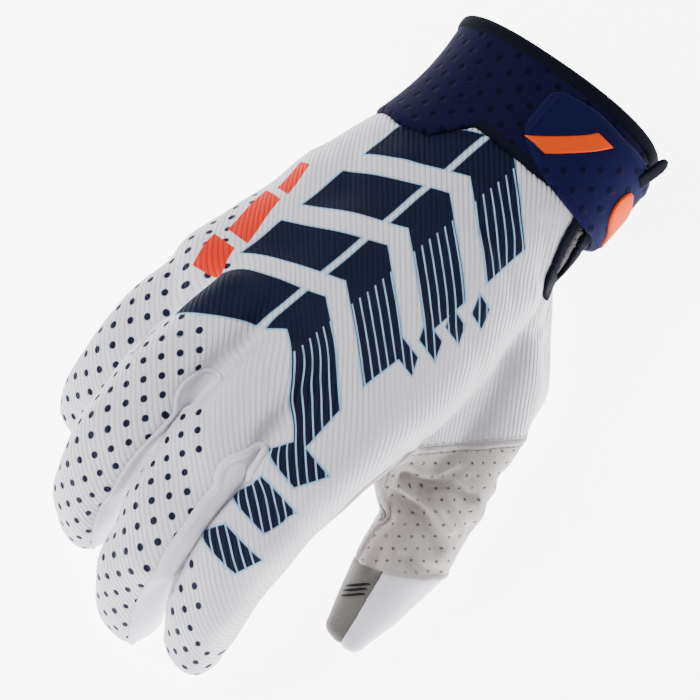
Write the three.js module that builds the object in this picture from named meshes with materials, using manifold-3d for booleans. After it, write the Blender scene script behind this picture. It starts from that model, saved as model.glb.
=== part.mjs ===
import * as THREE from 'three';
import { mergeVertices } from 'three/addons/utils/BufferGeometryUtils.js';
import Module from 'manifold-3d';

const wasm = await Module();
wasm.setup();

// A right-hand riding glove that lies palm down on a flat surface and keeps its form.
// The hand frame has +X to the thumb side, +Y to the cuff and +Z out of the back of the hand.
// Its origin lies under the middle of the palm.

// Driving dimensions, in millimetres
const handWidth = 94;
const bodyLength = 116;
const handDepth = 36;
const fingerLength = { index: 92.7, middle: 104.5, ring: 97.2, pinky: 79 };
const fingerWidth = { index: 24, middle: 24, ring: 23.4, pinky: 20.6 };
const thumbLength = 92;
const thumbWidth = 31;
const clothWall = 1.6;
const cuffWall = 3;
const cuffStep = 0.8;
const rimTapeWall = 1;
const rimTapeDepth = 4.5;
const slitWidth = 5;
const slitTapeWidth = 4.6;
const slitTapeWall = 1.1;
const strapWidth = 23;
const strapWall = 2.4;
const printWall = 0.7;
const barLength = 13;
const barWidth = 6.4;
const patchWidth = 10;
const pullTabLength = 9;
const pullTabWidth = 5.4;
const pullTabWall = 1.6;
const crotchDepth = 4.5;
const crotchWidth = 5;

// Clearances, in millimetres
const seamGap = 0.3;
const seatGap = 0.3;

// How the glove lies, in degrees about X and about Y
const restPitch = -13.3;
const restRoll = -4.9;

const deg = THREE.MathUtils.degToRad;

// A section's outline is a rounded square: its corners fill out as this power rises.
const bodyPower = 2.4;
const fingerPower = 2.5;

// The body of the glove, from the web between the fingers to the rim of the cuff. Along is a share of
// bodyLength, across and half are shares of handWidth, and height, back and front are shares of
// handDepth. Turn, lean and roll are degrees, and the two seams are where back and palm meet on each side.
const bodyRows = [
  { along: -0.582, across: 0.016, height: 0.875, half: 0.440, back: 0.130, front: 0.210, turn: -8, lean: 26, roll: 7, thumbSeam: 6, outerSeam: 170 },
  { along: -0.562, across: 0.016, height: 0.910, half: 0.462, back: 0.220, front: 0.310, turn: -8, lean: 25, roll: 7, thumbSeam: 6, outerSeam: 170 },
  { along: -0.490, across: 0.016, height: 1.035, half: 0.480, back: 0.300, front: 0.380, turn: -4, lean: 17, roll: 5, thumbSeam: -2, outerSeam: 182 },
  { along: -0.362, across: 0.016, height: 1.139, half: 0.497, back: 0.444, front: 0.416, turn: 3, lean: 4, roll: 2, thumbSeam: -8, outerSeam: 191 },
  { along: -0.216, across: 0.011, height: 1.083, half: 0.490, back: 0.500, front: 0.500, turn: 5, lean: 2, roll: 0, thumbSeam: -10, outerSeam: 191 },
  { along: -0.043, across: -0.021, height: 1.028, half: 0.466, back: 0.556, front: 0.583, turn: 4, lean: 4, roll: 0, thumbSeam: -14, outerSeam: 191 },
  { along: 0.129, across: -0.053, height: 1.000, half: 0.436, back: 0.583, front: 0.611, turn: 3, lean: 6, roll: 0, thumbSeam: -18, outerSeam: 190 },
  { along: 0.284, across: -0.085, height: 1.000, half: 0.392, back: 0.583, front: 0.556, turn: 3, lean: 8, roll: 0, thumbSeam: -14, outerSeam: 189 },
  { along: 0.414, across: -0.104, height: 1.028, half: 0.378, back: 0.583, front: 0.528, turn: 5, lean: 9, roll: 0, thumbSeam: -6, outerSeam: 188 },
  { along: 0.534, across: -0.133, height: 1.083, half: 0.376, back: 0.600, front: 0.550, turn: 8, lean: 10, roll: 0, thumbSeam: -10, outerSeam: 188 },
  { along: 0.647, across: -0.170, height: 1.139, half: 0.378, back: 0.617, front: 0.570, turn: 12, lean: 10, roll: 0, thumbSeam: -12, outerSeam: 188 },
];

// Each finger starts at its knuckle, given as shares of handWidth, bodyLength and handDepth. Its three
// bones are shares of its length, each bends down by the next angle, and it spreads sideways by the
// last one. Girth gives the widths at the four joints as shares of its width.
const fingers = [
  { name: 'index', across: 0.394, along: -0.389, height: 1.103, bones: [0.465, 0.283, 0.252], bends: [26, 24, 23], spread: 0.6, girth: [1, 0.94, 0.86, 0.66], thumbSeam: -26, outerSeam: 145 },
  { name: 'middle', across: 0.111, along: -0.438, height: 1.272, bones: [0.483, 0.295, 0.222], bends: [29, 33, 20], spread: 3.3, girth: [1, 0.94, 0.88, 0.7], thumbSeam: 36, outerSeam: 145 },
  { name: 'ring', across: -0.139, along: -0.403, height: 1.303, bones: [0.456, 0.287, 0.257], bends: [21, 35, 26], spread: 0.2, girth: [1, 0.96, 0.88, 0.7], thumbSeam: 36, outerSeam: 145 },
  { name: 'pinky', across: -0.356, along: -0.283, height: 1.075, bones: [0.446, 0.277, 0.277], bends: [22, 25, 18], spread: -5.9, girth: [1, 0.95, 0.9, 0.7], thumbSeam: 36, outerSeam: 200 },
];

// The thumb leaves the side of the palm. Side, along and drop are shares of thumbLength, from the
// point that thumbRoot gives in shares of handWidth, bodyLength and handDepth.
const thumbRoot = { across: 0.404, along: 0.086, height: 0.39 };
const thumbRows = [
  { side: -0.270, along: 0.230, drop: -0.150, girth: 0.82 },
  { side: -0.010, along: 0, drop: 0, girth: 1 },
  { side: 0.125, along: -0.301, drop: 0.076, girth: 0.96 },
  { side: 0.212, along: -0.558, drop: 0.164, girth: 0.9 },
  { side: 0.258, along: -0.762, drop: 0.239, girth: 0.74 },
  { side: 0.280, along: -0.917, drop: 0.304, girth: 0.52 },
];
const thumbSeams = { outer: -45, inner: 129, base: 140 };

// The web spans from the edge of the palm to the thumb. Its two ends and its thickness at each row,
// in shares of thumbLength from the same point
const webRows = [
  { inAcross: -0.30, inAlong: 0.13, inDrop: -0.24, outAcross: -0.12, outAlong: 0.08, outDrop: -0.07, thick: 0.30 },
  { inAcross: -0.26, inAlong: -0.08, inDrop: -0.25, outAcross: 0.03, outAlong: -0.12, outDrop: 0.04, thick: 0.31 },
  { inAcross: -0.14, inAlong: -0.30, inDrop: -0.24, outAcross: 0.10, outAlong: -0.34, outDrop: 0.07, thick: 0.27 },
  { inAcross: -0.02, inAlong: -0.48, inDrop: -0.17, outAcross: 0.13, outAlong: -0.52, outDrop: 0.09, thick: 0.17 },
  { inAcross: 0.05, inAlong: -0.58, inDrop: -0.08, outAcross: 0.13, outAlong: -0.60, outDrop: 0.06, thick: 0.07 },
];

// Points where the saddle's two edges cross the thumb, in shares of thumbLength from thumbRoot
const saddleTop = [
  { side: 0.104, along: -0.617, drop: -0.011 },
  { side: 0.087, along: -0.385, drop: -0.120 },
  { side: 0.185, along: -0.070, drop: 0.054 },
];
const saddleFoot = [
  { side: 0.098, along: -0.734, drop: 0.158 },
  { side: 0.364, along: -0.506, drop: 0.190 },
  { side: 0.283, along: -0.691, drop: 0.076 },
];

// Where the white back ends and the cuff starts, seen from above, in shares of handWidth and bodyLength
const cuffLine = [
  { across: -0.9, along: 0.235 },
  { across: -0.42, along: 0.232 },
  { across: -0.34, along: 0.222 },
  { across: -0.23, along: 0.25 },
  { across: -0.157, along: 0.353 },
  { across: 0.07, along: 0.379 },
  { across: 0.265, along: 0.425 },
  { across: 0.9, along: 0.44 },
];

// The slit on the thumb side: its middle line, from its closed end up past the rim
const slitRows = [
  { along: 0.285, turn: -16 },
  { along: 0.345, turn: -8 },
  { along: 0.420, turn: 0 },
  { along: 0.520, turn: -6 },
  { along: 0.760, turn: -10 },
];

// The closure strap round the cuff: its middle line and width, as shares of bodyLength and strapWidth
const strapRows = [
  { turn: 84, along: 0.520, width: 0.62 },
  { turn: 77, along: 0.508, width: 0.8 },
  { turn: 62, along: 0.500, width: 0.98 },
  { turn: 42, along: 0.495, width: 1 },
  { turn: 22, along: 0.498, width: 1 },
  { turn: 0, along: 0.503, width: 0.94 },
  { turn: -24, along: 0.500, width: 0.92 },
  { turn: -50, along: 0.497, width: 0.92 },
  { turn: -72, along: 0.497, width: 0.92 },
  { turn: -84, along: 0.497, width: 0.7 },
];
const barPlace = { turn: 62, along: 0.503, slant: 1.03 };
const patchPlace = { turn: -3, along: 0.484, reach: 34 };
const pullTabPlace = { turn: 8, along: 0.575, lift: 20 };

// Soft folds in the cloth: middle, reach and depth, as shares of bodyLength and of clothWall, and
// degrees round the section
const bodyFolds = [
  { along: 0.20, turn: 8, reach: 0.05, spread: 22, depth: 1.1 },
  { along: 0.11, turn: 20, reach: 0.04, spread: 26, depth: -0.6 },
  { along: 0.25, turn: 150, reach: 0.035, spread: 30, depth: 1.0 },
  { along: 0.31, turn: 250, reach: 0.04, spread: 45, depth: 1.0 },
  { along: -0.15, turn: 262, reach: 0.06, spread: 40, depth: 1.2 },
  { along: -0.36, turn: 66, reach: 0.10, spread: 9, depth: 0.8 },
  { along: -0.36, turn: 98, reach: 0.10, spread: 8, depth: 0.6 },
];

// A smooth value of one column at place t of a table, where t counts rows. Past the last row it goes on
// in a straight line.
function column(rows, name, t) {
  const last = rows.length - 1;
  if (t > last) return rows[last][name] + (t - last) * (rows[last][name] - rows[last - 1][name]);
  const at = Math.max(t, 0);
  const i = Math.min(Math.floor(at), last - 1);
  const f = at - i;
  const value = (k) => rows[Math.min(Math.max(k, 0), last)][name];
  const [a, b, c, d] = [value(i - 1), value(i), value(i + 1), value(i + 2)];
  return b + 0.5 * f * (c - a + f * (2 * a - 5 * b + 4 * c - d + f * (3 * (b - c) + d - a)));
}

// The place t in a table where a rising column reaches a value
function placeOf(rows, name, value) {
  for (let i = 0; i < rows.length - 1; i++) {
    const [low, high] = [rows[i][name], rows[i + 1][name]];
    if (value <= high || i === rows.length - 2) return i + (value - low) / (high - low);
  }
  return 0;
}

function rounded(angle, power) {
  const round = (v) => Math.sign(v) * Math.abs(v) ** (2 / power);
  return [round(Math.cos(angle)), round(Math.sin(angle))];
}

// One point of a section's outline. The section has its centre, its side and up directions, and its
// half width, back and front.
function outline(section, turn, offset, power) {
  const [c, s] = rounded(deg(turn), power);
  const depth = s > 0 ? section.back : section.front;
  return section.centre.clone()
    .addScaledVector(section.side, c * Math.max(section.half + offset, 0.2))
    .addScaledVector(section.up, s * Math.max(depth + offset, 0.2));
}

function fullRing(section, offset, power, count) {
  return Array.from({ length: count }, (_, i) => outline(section, (360 * i) / count, offset, power));
}

// A closed body through rings of equal count
function loft(rings) {
  const count = rings[0].length;
  const middle = (ring) => ring.reduce((sum, p) => sum.add(p), new THREE.Vector3()).divideScalar(count);
  const points = [...rings.flat(), middle(rings[0]), middle(rings.at(-1))];
  const faces = [];
  for (let r = 0; r < rings.length - 1; r++) {
    for (let i = 0; i < count; i++) {
      const a = r * count + i;
      const b = r * count + ((i + 1) % count);
      faces.push([a, b, b + count], [a, b + count, a + count]);
    }
  }
  const end = (rings.length - 1) * count;
  for (let i = 0; i < count; i++) {
    const next = (i + 1) % count;
    faces.push([next, i, points.length - 2], [end + i, end + next, points.length - 1]);
  }
  return toSolid(points, faces);
}

function toSolid(points, faces) {
  const volume = faces.reduce((sum, [a, b, c]) => sum + points[a].dot(points[b].clone().cross(points[c])), 0);
  const triangles = volume < 0 ? faces.map(([a, b, c]) => [a, c, b]) : faces;
  const mesh = new wasm.Mesh({
    numProp: 3,
    vertProperties: Float32Array.from(points.flatMap((p) => p.toArray())),
    triVerts: Uint32Array.from(triangles.flat()),
  });
  return new wasm.Manifold(mesh);
}

function fromGeometry(geometry) {
  const bare = geometry.index ? geometry.clone() : geometry;
  bare.deleteAttribute('normal');
  bare.deleteAttribute('uv');
  const merged = mergeVertices(bare, 1e-4);
  return new wasm.Manifold(new wasm.Mesh({
    numProp: 3,
    vertProperties: Float32Array.from(merged.attributes.position.array),
    triVerts: Uint32Array.from(merged.index.array),
  }));
}

function join(solids) {
  return solids.reduce((sum, solid) => sum.add(solid));
}

// The largest connected body of a solid, without the slivers that hang on it by a hair
const finest = 0.02;
function mainBody(solid) {
  const largest = (bodies) => bodies.reduce((best, body) => (body.volume() > best.volume() ? body : best));
  return largest(largest(solid.decompose()).simplify(finest).decompose());
}

// Body of the glove
function bodySection(t) {
  const at = (name) => column(bodyRows, name, t);
  const [turn, lean] = [deg(at('turn')), deg(at('lean'))];
  const forward = new THREE.Vector3(
    -Math.sin(turn) * Math.cos(lean), Math.cos(turn) * Math.cos(lean), Math.sin(lean));
  const side = new THREE.Vector3(Math.cos(turn), Math.sin(turn), 0)
    .applyAxisAngle(forward, -deg(at('roll')));
  return {
    centre: new THREE.Vector3(at('across') * handWidth, at('along') * bodyLength, at('height') * handDepth),
    side,
    up: side.clone().cross(forward),
    half: at('half') * handWidth,
    back: at('back') * handDepth,
    front: at('front') * handDepth,
  };
}

function foldDepth(along, turn) {
  return bodyFolds.reduce((sum, fold) => {
    const far = ((turn - fold.turn + 540) % 360) - 180;
    const d = ((along - fold.along) / fold.reach) ** 2 + (far / fold.spread) ** 2;
    return sum - fold.depth * clothWall * Math.exp(-d);
  }, 0);
}

function bodyPoint(along, turn, offset) {
  const section = bodySection(placeOf(bodyRows, 'along', along));
  return outline(section, turn, offset + foldDepth(along, turn), bodyPower);
}

// All tubes of the body share their stations and sides, so that walls keep their thickness
const bodySides = 22;
const stationStep = 0.1;
const webStations = [bodyRows[1].along, bodyRows[1].along + 0.025];
function stationsBetween(from, to) {
  const even = Array.from({ length: 20 }, (_, i) => -1 + i * stationStep);
  const inner = [...even, ...webStations].sort((a, b) => a - b);
  return [from, ...inner.filter((a) => a > from + 0.004 && a < to - 0.02), to];
}

function bodyTube(from, to, offset) {
  return loft(stationsBetween(from, to).map((along) => Array.from(
    { length: bodySides }, (_, k) => bodyPoint(along, (360 * k) / bodySides, offset))));
}

// Stations along a bent tube: its centre line is a smooth curve through the joints, and it ends in a dome
function tubeSections(joints, widths, sideAt, inset, steps, domeLength) {
  const curve = new THREE.CatmullRomCurve3(joints, false, 'centripetal');
  const places = joints.map((_, i) => ({ width: widths[i] }));
  const spans = joints.length - 1;
  const length = curve.getLength();
  const domeFrom = 1 - domeLength / length;
  const section = (t, share, ahead) => {
    const tangent = curve.getTangent(Math.min(t, 1));
    const side = sideAt.clone().addScaledVector(tangent, -sideAt.dot(tangent)).normalize();
    const radius = (column(places, 'width', t * spans) / 2 - inset) * share;
    return {
      centre: curve.getPoint(Math.min(t, 1)).addScaledVector(tangent, ahead),
      side, up: tangent.clone().cross(side), half: radius, back: radius, front: radius, tangent,
    };
  };
  const sections = [];
  for (let i = 0; i <= steps; i++) sections.push(section((domeFrom * i) / steps, 1, 0));
  const domeSteps = [0.45, 0.75, 0.94];
  const dome = domeLength - inset;
  for (const s of domeSteps) {
    sections.push(section(domeFrom, Math.sqrt(1 - s * s) * 0.98, 0));
    const last = sections.at(-1);
    const tip = curve.getPoint(domeFrom).lerp(curve.getPoint(1), (s * dome) / domeLength);
    last.centre.copy(tip);
  }
  return sections;
}

function sectionsToSolid(sections, power, sides) {
  return loft(sections.map((section) => fullRing(section, 0, power, sides)));
}

// A wedge round a bent tube between two turns, from its centre line out to a reach beyond its skin.
// Its margin moves all its faces outwards.
function wedge(sections, turnsAt, beyond, margin) {
  const last = sections.length - 1;
  return loft(sections.map((section, k) => {
    const reach = section.reach + beyond + 3 * margin;
    const grow = THREE.MathUtils.radToDeg(margin / section.reach);
    const [from, to] = turnsAt(section);
    const steps = Math.max(3, Math.ceil((to - from) / 30));
    const centre = section.centre.clone();
    if (k === 0) centre.addScaledVector(section.tangent, -margin);
    if (k === last) centre.addScaledVector(section.tangent, margin);
    const outwards = (angle, length) => centre.clone()
      .addScaledVector(section.side, Math.cos(angle) * length)
      .addScaledVector(section.up, Math.sin(angle) * length);
    const arc = Array.from({ length: steps + 1 }, (_, i) =>
      outwards(deg(from - grow + ((to - from + 2 * grow) * i) / steps), reach));
    const apex = outwards(deg((from + to) / 2), -margin / Math.sin(deg((to - from) / 2)));
    return [apex, ...arc];
  }));
}

// Fingers. Each one grows out of the body of the glove from a root behind and under its knuckle,
// given in shares of its length and, for its girth, of its width.
const rootBack = 0.17;
const rootDrop = 0.075;
const rootGirth = 0.86;
const fingerSides = 12;
function fingerJoints(finger) {
  const length = fingerLength[finger.name];
  const point = new THREE.Vector3(
    finger.across * handWidth, finger.along * bodyLength, finger.height * handDepth);
  const spread = deg(finger.spread);
  const root = point.clone().add(new THREE.Vector3(0, rootBack * length, -rootDrop * length));
  const joints = [root, point.clone()];
  let bend = 0;
  finger.bones.forEach((bone, i) => {
    bend += deg(finger.bends[i]);
    const step = new THREE.Vector3(
      Math.sin(spread) * Math.cos(bend), -Math.cos(spread) * Math.cos(bend), -Math.sin(bend));
    point.addScaledVector(step, bone * length);
    joints.push(point.clone());
  });
  return joints;
}

function fingerSections(finger, inset) {
  const side = new THREE.Vector3(Math.cos(deg(finger.spread)), Math.sin(deg(finger.spread)), 0);
  const width = fingerWidth[finger.name];
  const joints = fingerJoints(finger);
  const widths = [rootGirth, ...finger.girth].map((share) => share * width);
  return tubeSections(joints, widths, side, inset, 7, widths.at(-1) * 0.62);
}

function withReach(sections, tail) {
  const grown = sections.map((section) => ({ ...section, reach: section.half }));
  const widest = Math.max(...grown.map((section) => section.reach));
  for (const section of grown) section.reach = Math.max(section.reach, widest * 0.8);
  const last = grown.at(-1);
  const tangent = last.tangent;
  grown.push({ ...last, centre: last.centre.clone().addScaledVector(tangent, tail) });
  return grown;
}

// Thumb and web
const rootPoint = new THREE.Vector3(
  thumbRoot.across * handWidth, thumbRoot.along * bodyLength, thumbRoot.height * handDepth);
function fromRoot(row) {
  return rootPoint.clone().add(
    new THREE.Vector3(row.side, row.along, -row.drop).multiplyScalar(thumbLength));
}

const thumbSide = new THREE.Vector3(0.97, 0.24, 0);
function rootedSections(rows, width, inset, steps) {
  const widths = rows.map((row) => row.girth * width);
  return tubeSections(rows.map(fromRoot), widths, thumbSide, inset, steps, width * 0.24);
}

function thumbSections(inset) {
  return rootedSections(thumbRows, thumbWidth, inset, 8);
}

function thumbForm(inset) {
  return sectionsToSolid(thumbSections(inset), bodyPower, 12);
}

const webSides = 12;
const webSteps = 5;
function webForm(inset) {
  const rings = [];
  for (let i = 0; i <= webSteps; i++) {
    const t = ((webRows.length - 1) * i) / webSteps;
    const at = (name) => column(webRows, name, t);
    const inner = fromRoot({ side: at('inAcross'), along: at('inAlong'), drop: at('inDrop') });
    const outer = fromRoot({ side: at('outAcross'), along: at('outAlong'), drop: at('outDrop') });
    const thick = (at('thick') * thumbLength) / 2;
    const side = outer.clone().sub(inner);
    const half = side.length() / 2 + thick;
    side.normalize();
    const up = new THREE.Vector3(0, -1, 0).cross(side).normalize();
    const shift = i === webSteps ? inset : 0;
    const centre = inner.add(outer).divideScalar(2).add(new THREE.Vector3(0, shift, 0));
    const section = { centre, side, up, half, back: thick, front: thick };
    rings.push(fullRing(section, -inset, 2, webSides));
  }
  return loft(rings);
}

// Outer and inner forms of the cloth shell
const rimAlong = bodyRows.at(-1).along;
const webAlong = bodyRows[0].along;
const webEndInset = clothWall / bodyLength;
function clothForm(inset) {
  const solids = [
    bodyTube(webAlong + (inset > 0 ? webEndInset : 0), 0.46, -inset),
    thumbForm(inset),
    webForm(inset),
  ];
  for (const finger of fingers) {
    solids.push(sectionsToSolid(fingerSections(finger, inset), fingerPower, fingerSides));
  }
  return join(solids);
}

// Cutters, each with a margin that opens the seam by the same amount on both sides
function halfSpace(points, towards, margin) {
  const [a, b, c] = points;
  const normal = b.clone().sub(a).cross(c.clone().sub(a)).normalize();
  if (normal.dot(towards) < 0) normal.negate();
  const size = 4 * bodyLength;
  const box = new THREE.BoxGeometry(size, size, size);
  box.translate(0, 0, size / 2 - margin);
  box.applyQuaternion(new THREE.Quaternion().setFromUnitVectors(new THREE.Vector3(0, 0, 1), normal));
  box.translate(a.x, a.y, a.z);
  return fromGeometry(box);
}

const distal = new THREE.Vector3(0.3, -0.9, -0.3);
const outward = new THREE.Vector3(0.93, -0.1, 0.35);
const armReach = 3;

function thumbZone(margin) {
  return thumbForm(-armReach - margin).intersect(halfSpace(saddleFoot.map(fromRoot), distal, margin));
}

function saddleZone(margin) {
  return join([thumbForm(-armReach - margin), webForm(-armReach - margin)])
    .intersect(halfSpace(saddleTop.map(fromRoot), outward, margin))
    .intersect(halfSpace(saddleFoot.map(fromRoot), distal.clone().negate(), margin));
}

// Where a finger's first bone crosses a line straight across the hand
function crossing(finger, y) {
  const [, knuckle, next] = fingerJoints(finger);
  return knuckle.lerp(next, (y - knuckle.y) / (next.y - knuckle.y));
}

// The side walls that two neighbouring fingers turn to each other, and the web between them
function gussetZone(thumbward, outer, margin) {
  const slope = Math.tan(deg(bodyRows[0].turn));
  const webLine = webAlong * bodyLength + slope * ((thumbward.across + outer.across) / 2) * handWidth;
  const past = (sections) => sections.filter((section) => section.centre.y < webLine + 3 * crotchDepth);
  const a = past(withReach(fingerSections(thumbward, 0), armReach));
  const b = past(withReach(fingerSections(outer, 0), armReach));
  const [from, to] = [crossing(thumbward, webLine), crossing(outer, webLine)];
  const crotch = from.clone().lerp(to, 0.5);
  const gap = from.distanceTo(to) - (fingerWidth[thumbward.name] + fingerWidth[outer.name]) / 2 + crotchWidth;
  const block = new THREE.BoxGeometry(gap + 2 * margin, 2 * crotchDepth + 2 * margin, 2 * handDepth);
  block.rotateX(deg(thumbward.bends[0]));
  block.translate(crotch.x, crotch.y, crotch.z);
  return join([
    wedge(a, () => [thumbward.outerSeam, 360 - thumbward.outerSeam], armReach, margin),
    wedge(b, () => [-outer.thumbSeam, outer.thumbSeam], armReach, margin),
    fromGeometry(block),
  ]);
}

function bodyWedgeSections() {
  return stationsBetween(webAlong, 0.46).map((along) => {
    const t = placeOf(bodyRows, 'along', along);
    const section = bodySection(t);
    return { ...section, t, reach: section.half, tangent: section.up.clone().cross(section.side) };
  });
}

function backZone(margin) {
  const bodySeams = ({ t }) => [column(bodyRows, 'thumbSeam', t), column(bodyRows, 'outerSeam', t)];
  const solids = [wedge(bodyWedgeSections(), bodySeams, 14, margin)];
  for (const finger of fingers) {
    const sections = withReach(fingerSections(finger, 0), armReach);
    solids.push(wedge(sections, () => [finger.thumbSeam, finger.outerSeam], armReach, margin));
  }
  const thumb = withReach(thumbSections(0), armReach);
  solids.push(wedge(thumb.slice(0, 6), () => [thumbSeams.outer, thumbSeams.base], 6, margin));
  return join(solids);
}

function thumbBackZone(margin) {
  const thumb = withReach(thumbSections(0), armReach);
  return wedge(thumb, () => [thumbSeams.outer, thumbSeams.inner], armReach, margin);
}

function cuffZone(margin) {
  const shape = new THREE.Shape();
  cuffLine.forEach((row, i) => {
    const [x, y] = [row.across * handWidth, row.along * bodyLength - margin];
    if (i === 0) shape.moveTo(x, y);
    else shape.lineTo(x, y);
  });
  const far = bodyLength * 1.2;
  shape.lineTo(cuffLine.at(-1).across * handWidth, far);
  shape.lineTo(cuffLine[0].across * handWidth, far);
  const prism = new THREE.ExtrudeGeometry(shape, { depth: 4 * handDepth, bevelEnabled: false });
  prism.translate(0, 0, -handDepth);
  return fromGeometry(prism);
}

// The region above and below a patch of the body's skin. Each row gives where the patch starts and
// ends, as a place along and a turn.
function rowsZone(rows, across) {
  const deep = 3 * cuffWall;
  return loft(rows.map((row) => {
    const at = (k) => [
      row.from[0] + (row.to[0] - row.from[0]) * (k / across),
      row.from[1] + (row.to[1] - row.from[1]) * (k / across),
    ];
    const outer = Array.from({ length: across + 1 }, (_, k) => bodyPoint(...at(k), deep));
    const inner = Array.from({ length: across + 1 }, (_, k) => bodyPoint(...at(across - k), -deep));
    return [...outer, ...inner];
  }));
}

// A plate that lies on that patch, between two offsets from the skin
function plate(rows, across, from, to) {
  const places = rows.flatMap((row) => [row.from[0], row.to[0]]);
  const [low, high] = [Math.min(...places) - stationStep, Math.max(...places) + stationStep];
  return mainBody(bodyTube(low, high, to).subtract(bodyTube(low - stationStep, high + stationStep, from))
    .intersect(rowsZone(rows, across)));
}

// Millimetres round the wrist to degrees of turn, near the thumb side
const turnPerMillimetre = 360 / (2 * Math.PI * (handWidth * 0.33));

// The region round the slit, rounded at its closed end, through the cloth and beyond it
function slitZone(reach, endShift) {
  const steps = 9;
  const endShares = [0.45, 0.85];
  const rows = [];
  for (let i = 0; i <= steps; i++) {
    const t = ((slitRows.length - 1) * i) / steps;
    const turns = reach * turnPerMillimetre * (endShares[i] ?? 1);
    const along = column(slitRows, 'along', t) - (i < 3 ? endShift / bodyLength : 0);
    const turn = column(slitRows, 'turn', t);
    rows.push({ from: [along, turn - turns], to: [along, turn + turns] });
  }
  return rowsZone(rows, 3);
}

// Cloth pieces
const shell = clothForm(0).subtract(clothForm(clothWall));
const half = seamGap / 2;
const slit = slitZone(slitWidth / 2, 0);
const pairs = [[0, 1], [1, 2], [2, 3]].map(([a, b]) => [fingers[a], fingers[b]]);
const gussetCuts = join(pairs.map(([a, b]) => gussetZone(a, b, half)));
const armCuts = join([saddleZone(half), thumbZone(half)]);
const body = shell.subtract(cuffZone(half)).subtract(slit).subtract(armCuts);

const gussets = pairs.map(([a, b]) => ({
  name: `gusset_${a.name}_${b.name}`,
  solid: mainBody(shell.subtract(cuffZone(half)).intersect(gussetZone(a, b, -half))),
}));
const panels = body.subtract(gussetCuts);
const backPanel = mainBody(panels.intersect(backZone(-half)));
const palmPanel = mainBody(panels.subtract(backZone(half)));
const saddle = mainBody(shell.intersect(saddleZone(-half)));
const thumbShell = shell.intersect(thumbZone(-half));
const thumbBack = mainBody(thumbShell.intersect(thumbBackZone(-half)));
const thumbPalm = mainBody(thumbShell.subtract(thumbBackZone(half)));

// Cuff, its rim tape and the closure
const cuffFrom = 0.17;
function cuffRing(outer, inner, from, to) {
  return bodyTube(from, to, outer).subtract(bodyTube(from - 0.05, to + 0.05, inner));
}
const rimTapeAlong = rimTapeDepth / bodyLength;
const rimEdge = rimAlong - (rimTapeWall + seamGap) / bodyLength;
const cuff = mainBody(
  cuffRing(cuffStep, cuffStep - cuffWall, cuffFrom, rimEdge)
    .intersect(cuffZone(-half)).subtract(slit));
const rimTape = mainBody(
  cuffRing(cuffStep + seatGap + rimTapeWall, cuffStep - cuffWall - seatGap - rimTapeWall,
    rimAlong - rimTapeAlong, rimAlong)
    .subtract(cuffRing(cuffStep + seatGap, cuffStep - cuffWall - seatGap,
      rimAlong - 2 * rimTapeAlong, rimEdge + seamGap / bodyLength))
    .subtract(slit));

const skin = cuffStep + seatGap;
const strapSkin = skin + strapWall;
const slitTape = mainBody(
  clothForm(-seatGap - slitTapeWall).subtract(clothForm(-seatGap))
    .intersect(slitZone(slitWidth / 2 + slitTapeWidth, slitTapeWidth))
    .subtract(slitZone(slitWidth / 2 - seamGap, 0))
    .subtract(strapPlate(skin - 2 * seatGap, strapSkin + seatGap))
    .subtract(cuffZone(seatGap)));

function strapPlate(from, to) {
  const rows = strapRows.map((row) => {
    const reach = (row.width * strapWidth) / 2 / bodyLength;
    return { from: [row.along - reach, row.turn], to: [row.along + reach, row.turn] };
  });
  return plate(rows, 4, from, to);
}
const strap = strapPlate(skin, strapSkin);

function barPlate() {
  const steps = 4;
  const rows = [];
  for (let i = 0; i <= steps; i++) {
    const share = i / steps - 0.5;
    const turn = barPlace.turn - share * barLength * turnPerMillimetre;
    const along = barPlace.along + (share * barPlace.slant * barLength) / bodyLength;
    const reach = (barWidth / 2) * turnPerMillimetre;
    rows.push({ from: [along, turn - reach], to: [along, turn + reach] });
  }
  return plate(rows, 2, strapSkin + seatGap, strapSkin + seatGap + printWall);
}
const bar = barPlate();

function patchPlate() {
  const steps = 6;
  const rows = [];
  for (let i = 0; i <= steps; i++) {
    const share = (2 * i) / steps - 1;
    const reach = (patchWidth / 2 / bodyLength) * Math.sqrt(Math.max(1 - share ** 4, 0.12));
    const turn = patchPlace.turn - (share * patchPlace.reach) / 2;
    rows.push({ from: [patchPlace.along - reach, turn], to: [patchPlace.along + reach, turn] });
  }
  return plate(rows, 2, strapSkin + seatGap, strapSkin + seatGap + printWall);
}
const patch = patchPlate();

// The pull tab is a folded tape that starts on the strap's edge and stands out past the rim
const tabSkin = strapSkin + seatGap;
function pullTabSolid() {
  const { along, turn, lift } = pullTabPlace;
  const foot = bodyPoint(along, turn, tabSkin);
  const out = bodyPoint(along, turn, tabSkin + handDepth).sub(foot).normalize();
  const ahead = bodyPoint(along + stationStep, turn, tabSkin).sub(foot).normalize();
  const run = ahead.multiplyScalar(Math.cos(deg(lift))).addScaledVector(out, Math.sin(deg(lift))).normalize();
  const across = out.clone().cross(run).normalize();
  const r = pullTabWidth / 2;
  const shape = new THREE.Shape();
  shape.moveTo(0, -r);
  shape.lineTo(pullTabLength - r, -r);
  shape.absarc(pullTabLength - r, 0, r, -Math.PI / 2, Math.PI / 2, false);
  shape.lineTo(0, r);
  const tab = new THREE.ExtrudeGeometry(shape, { depth: pullTabWall, bevelEnabled: false, curveSegments: 5 });
  const basis = new THREE.Matrix4().makeBasis(run, across, run.clone().cross(across));
  tab.applyMatrix4(basis);
  tab.translate(foot.x, foot.y, foot.z);
  return mainBody(fromGeometry(tab).subtract(bodyTube(cuffFrom, rimAlong, tabSkin)));
}
const pullTab = pullTabSolid();

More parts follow.
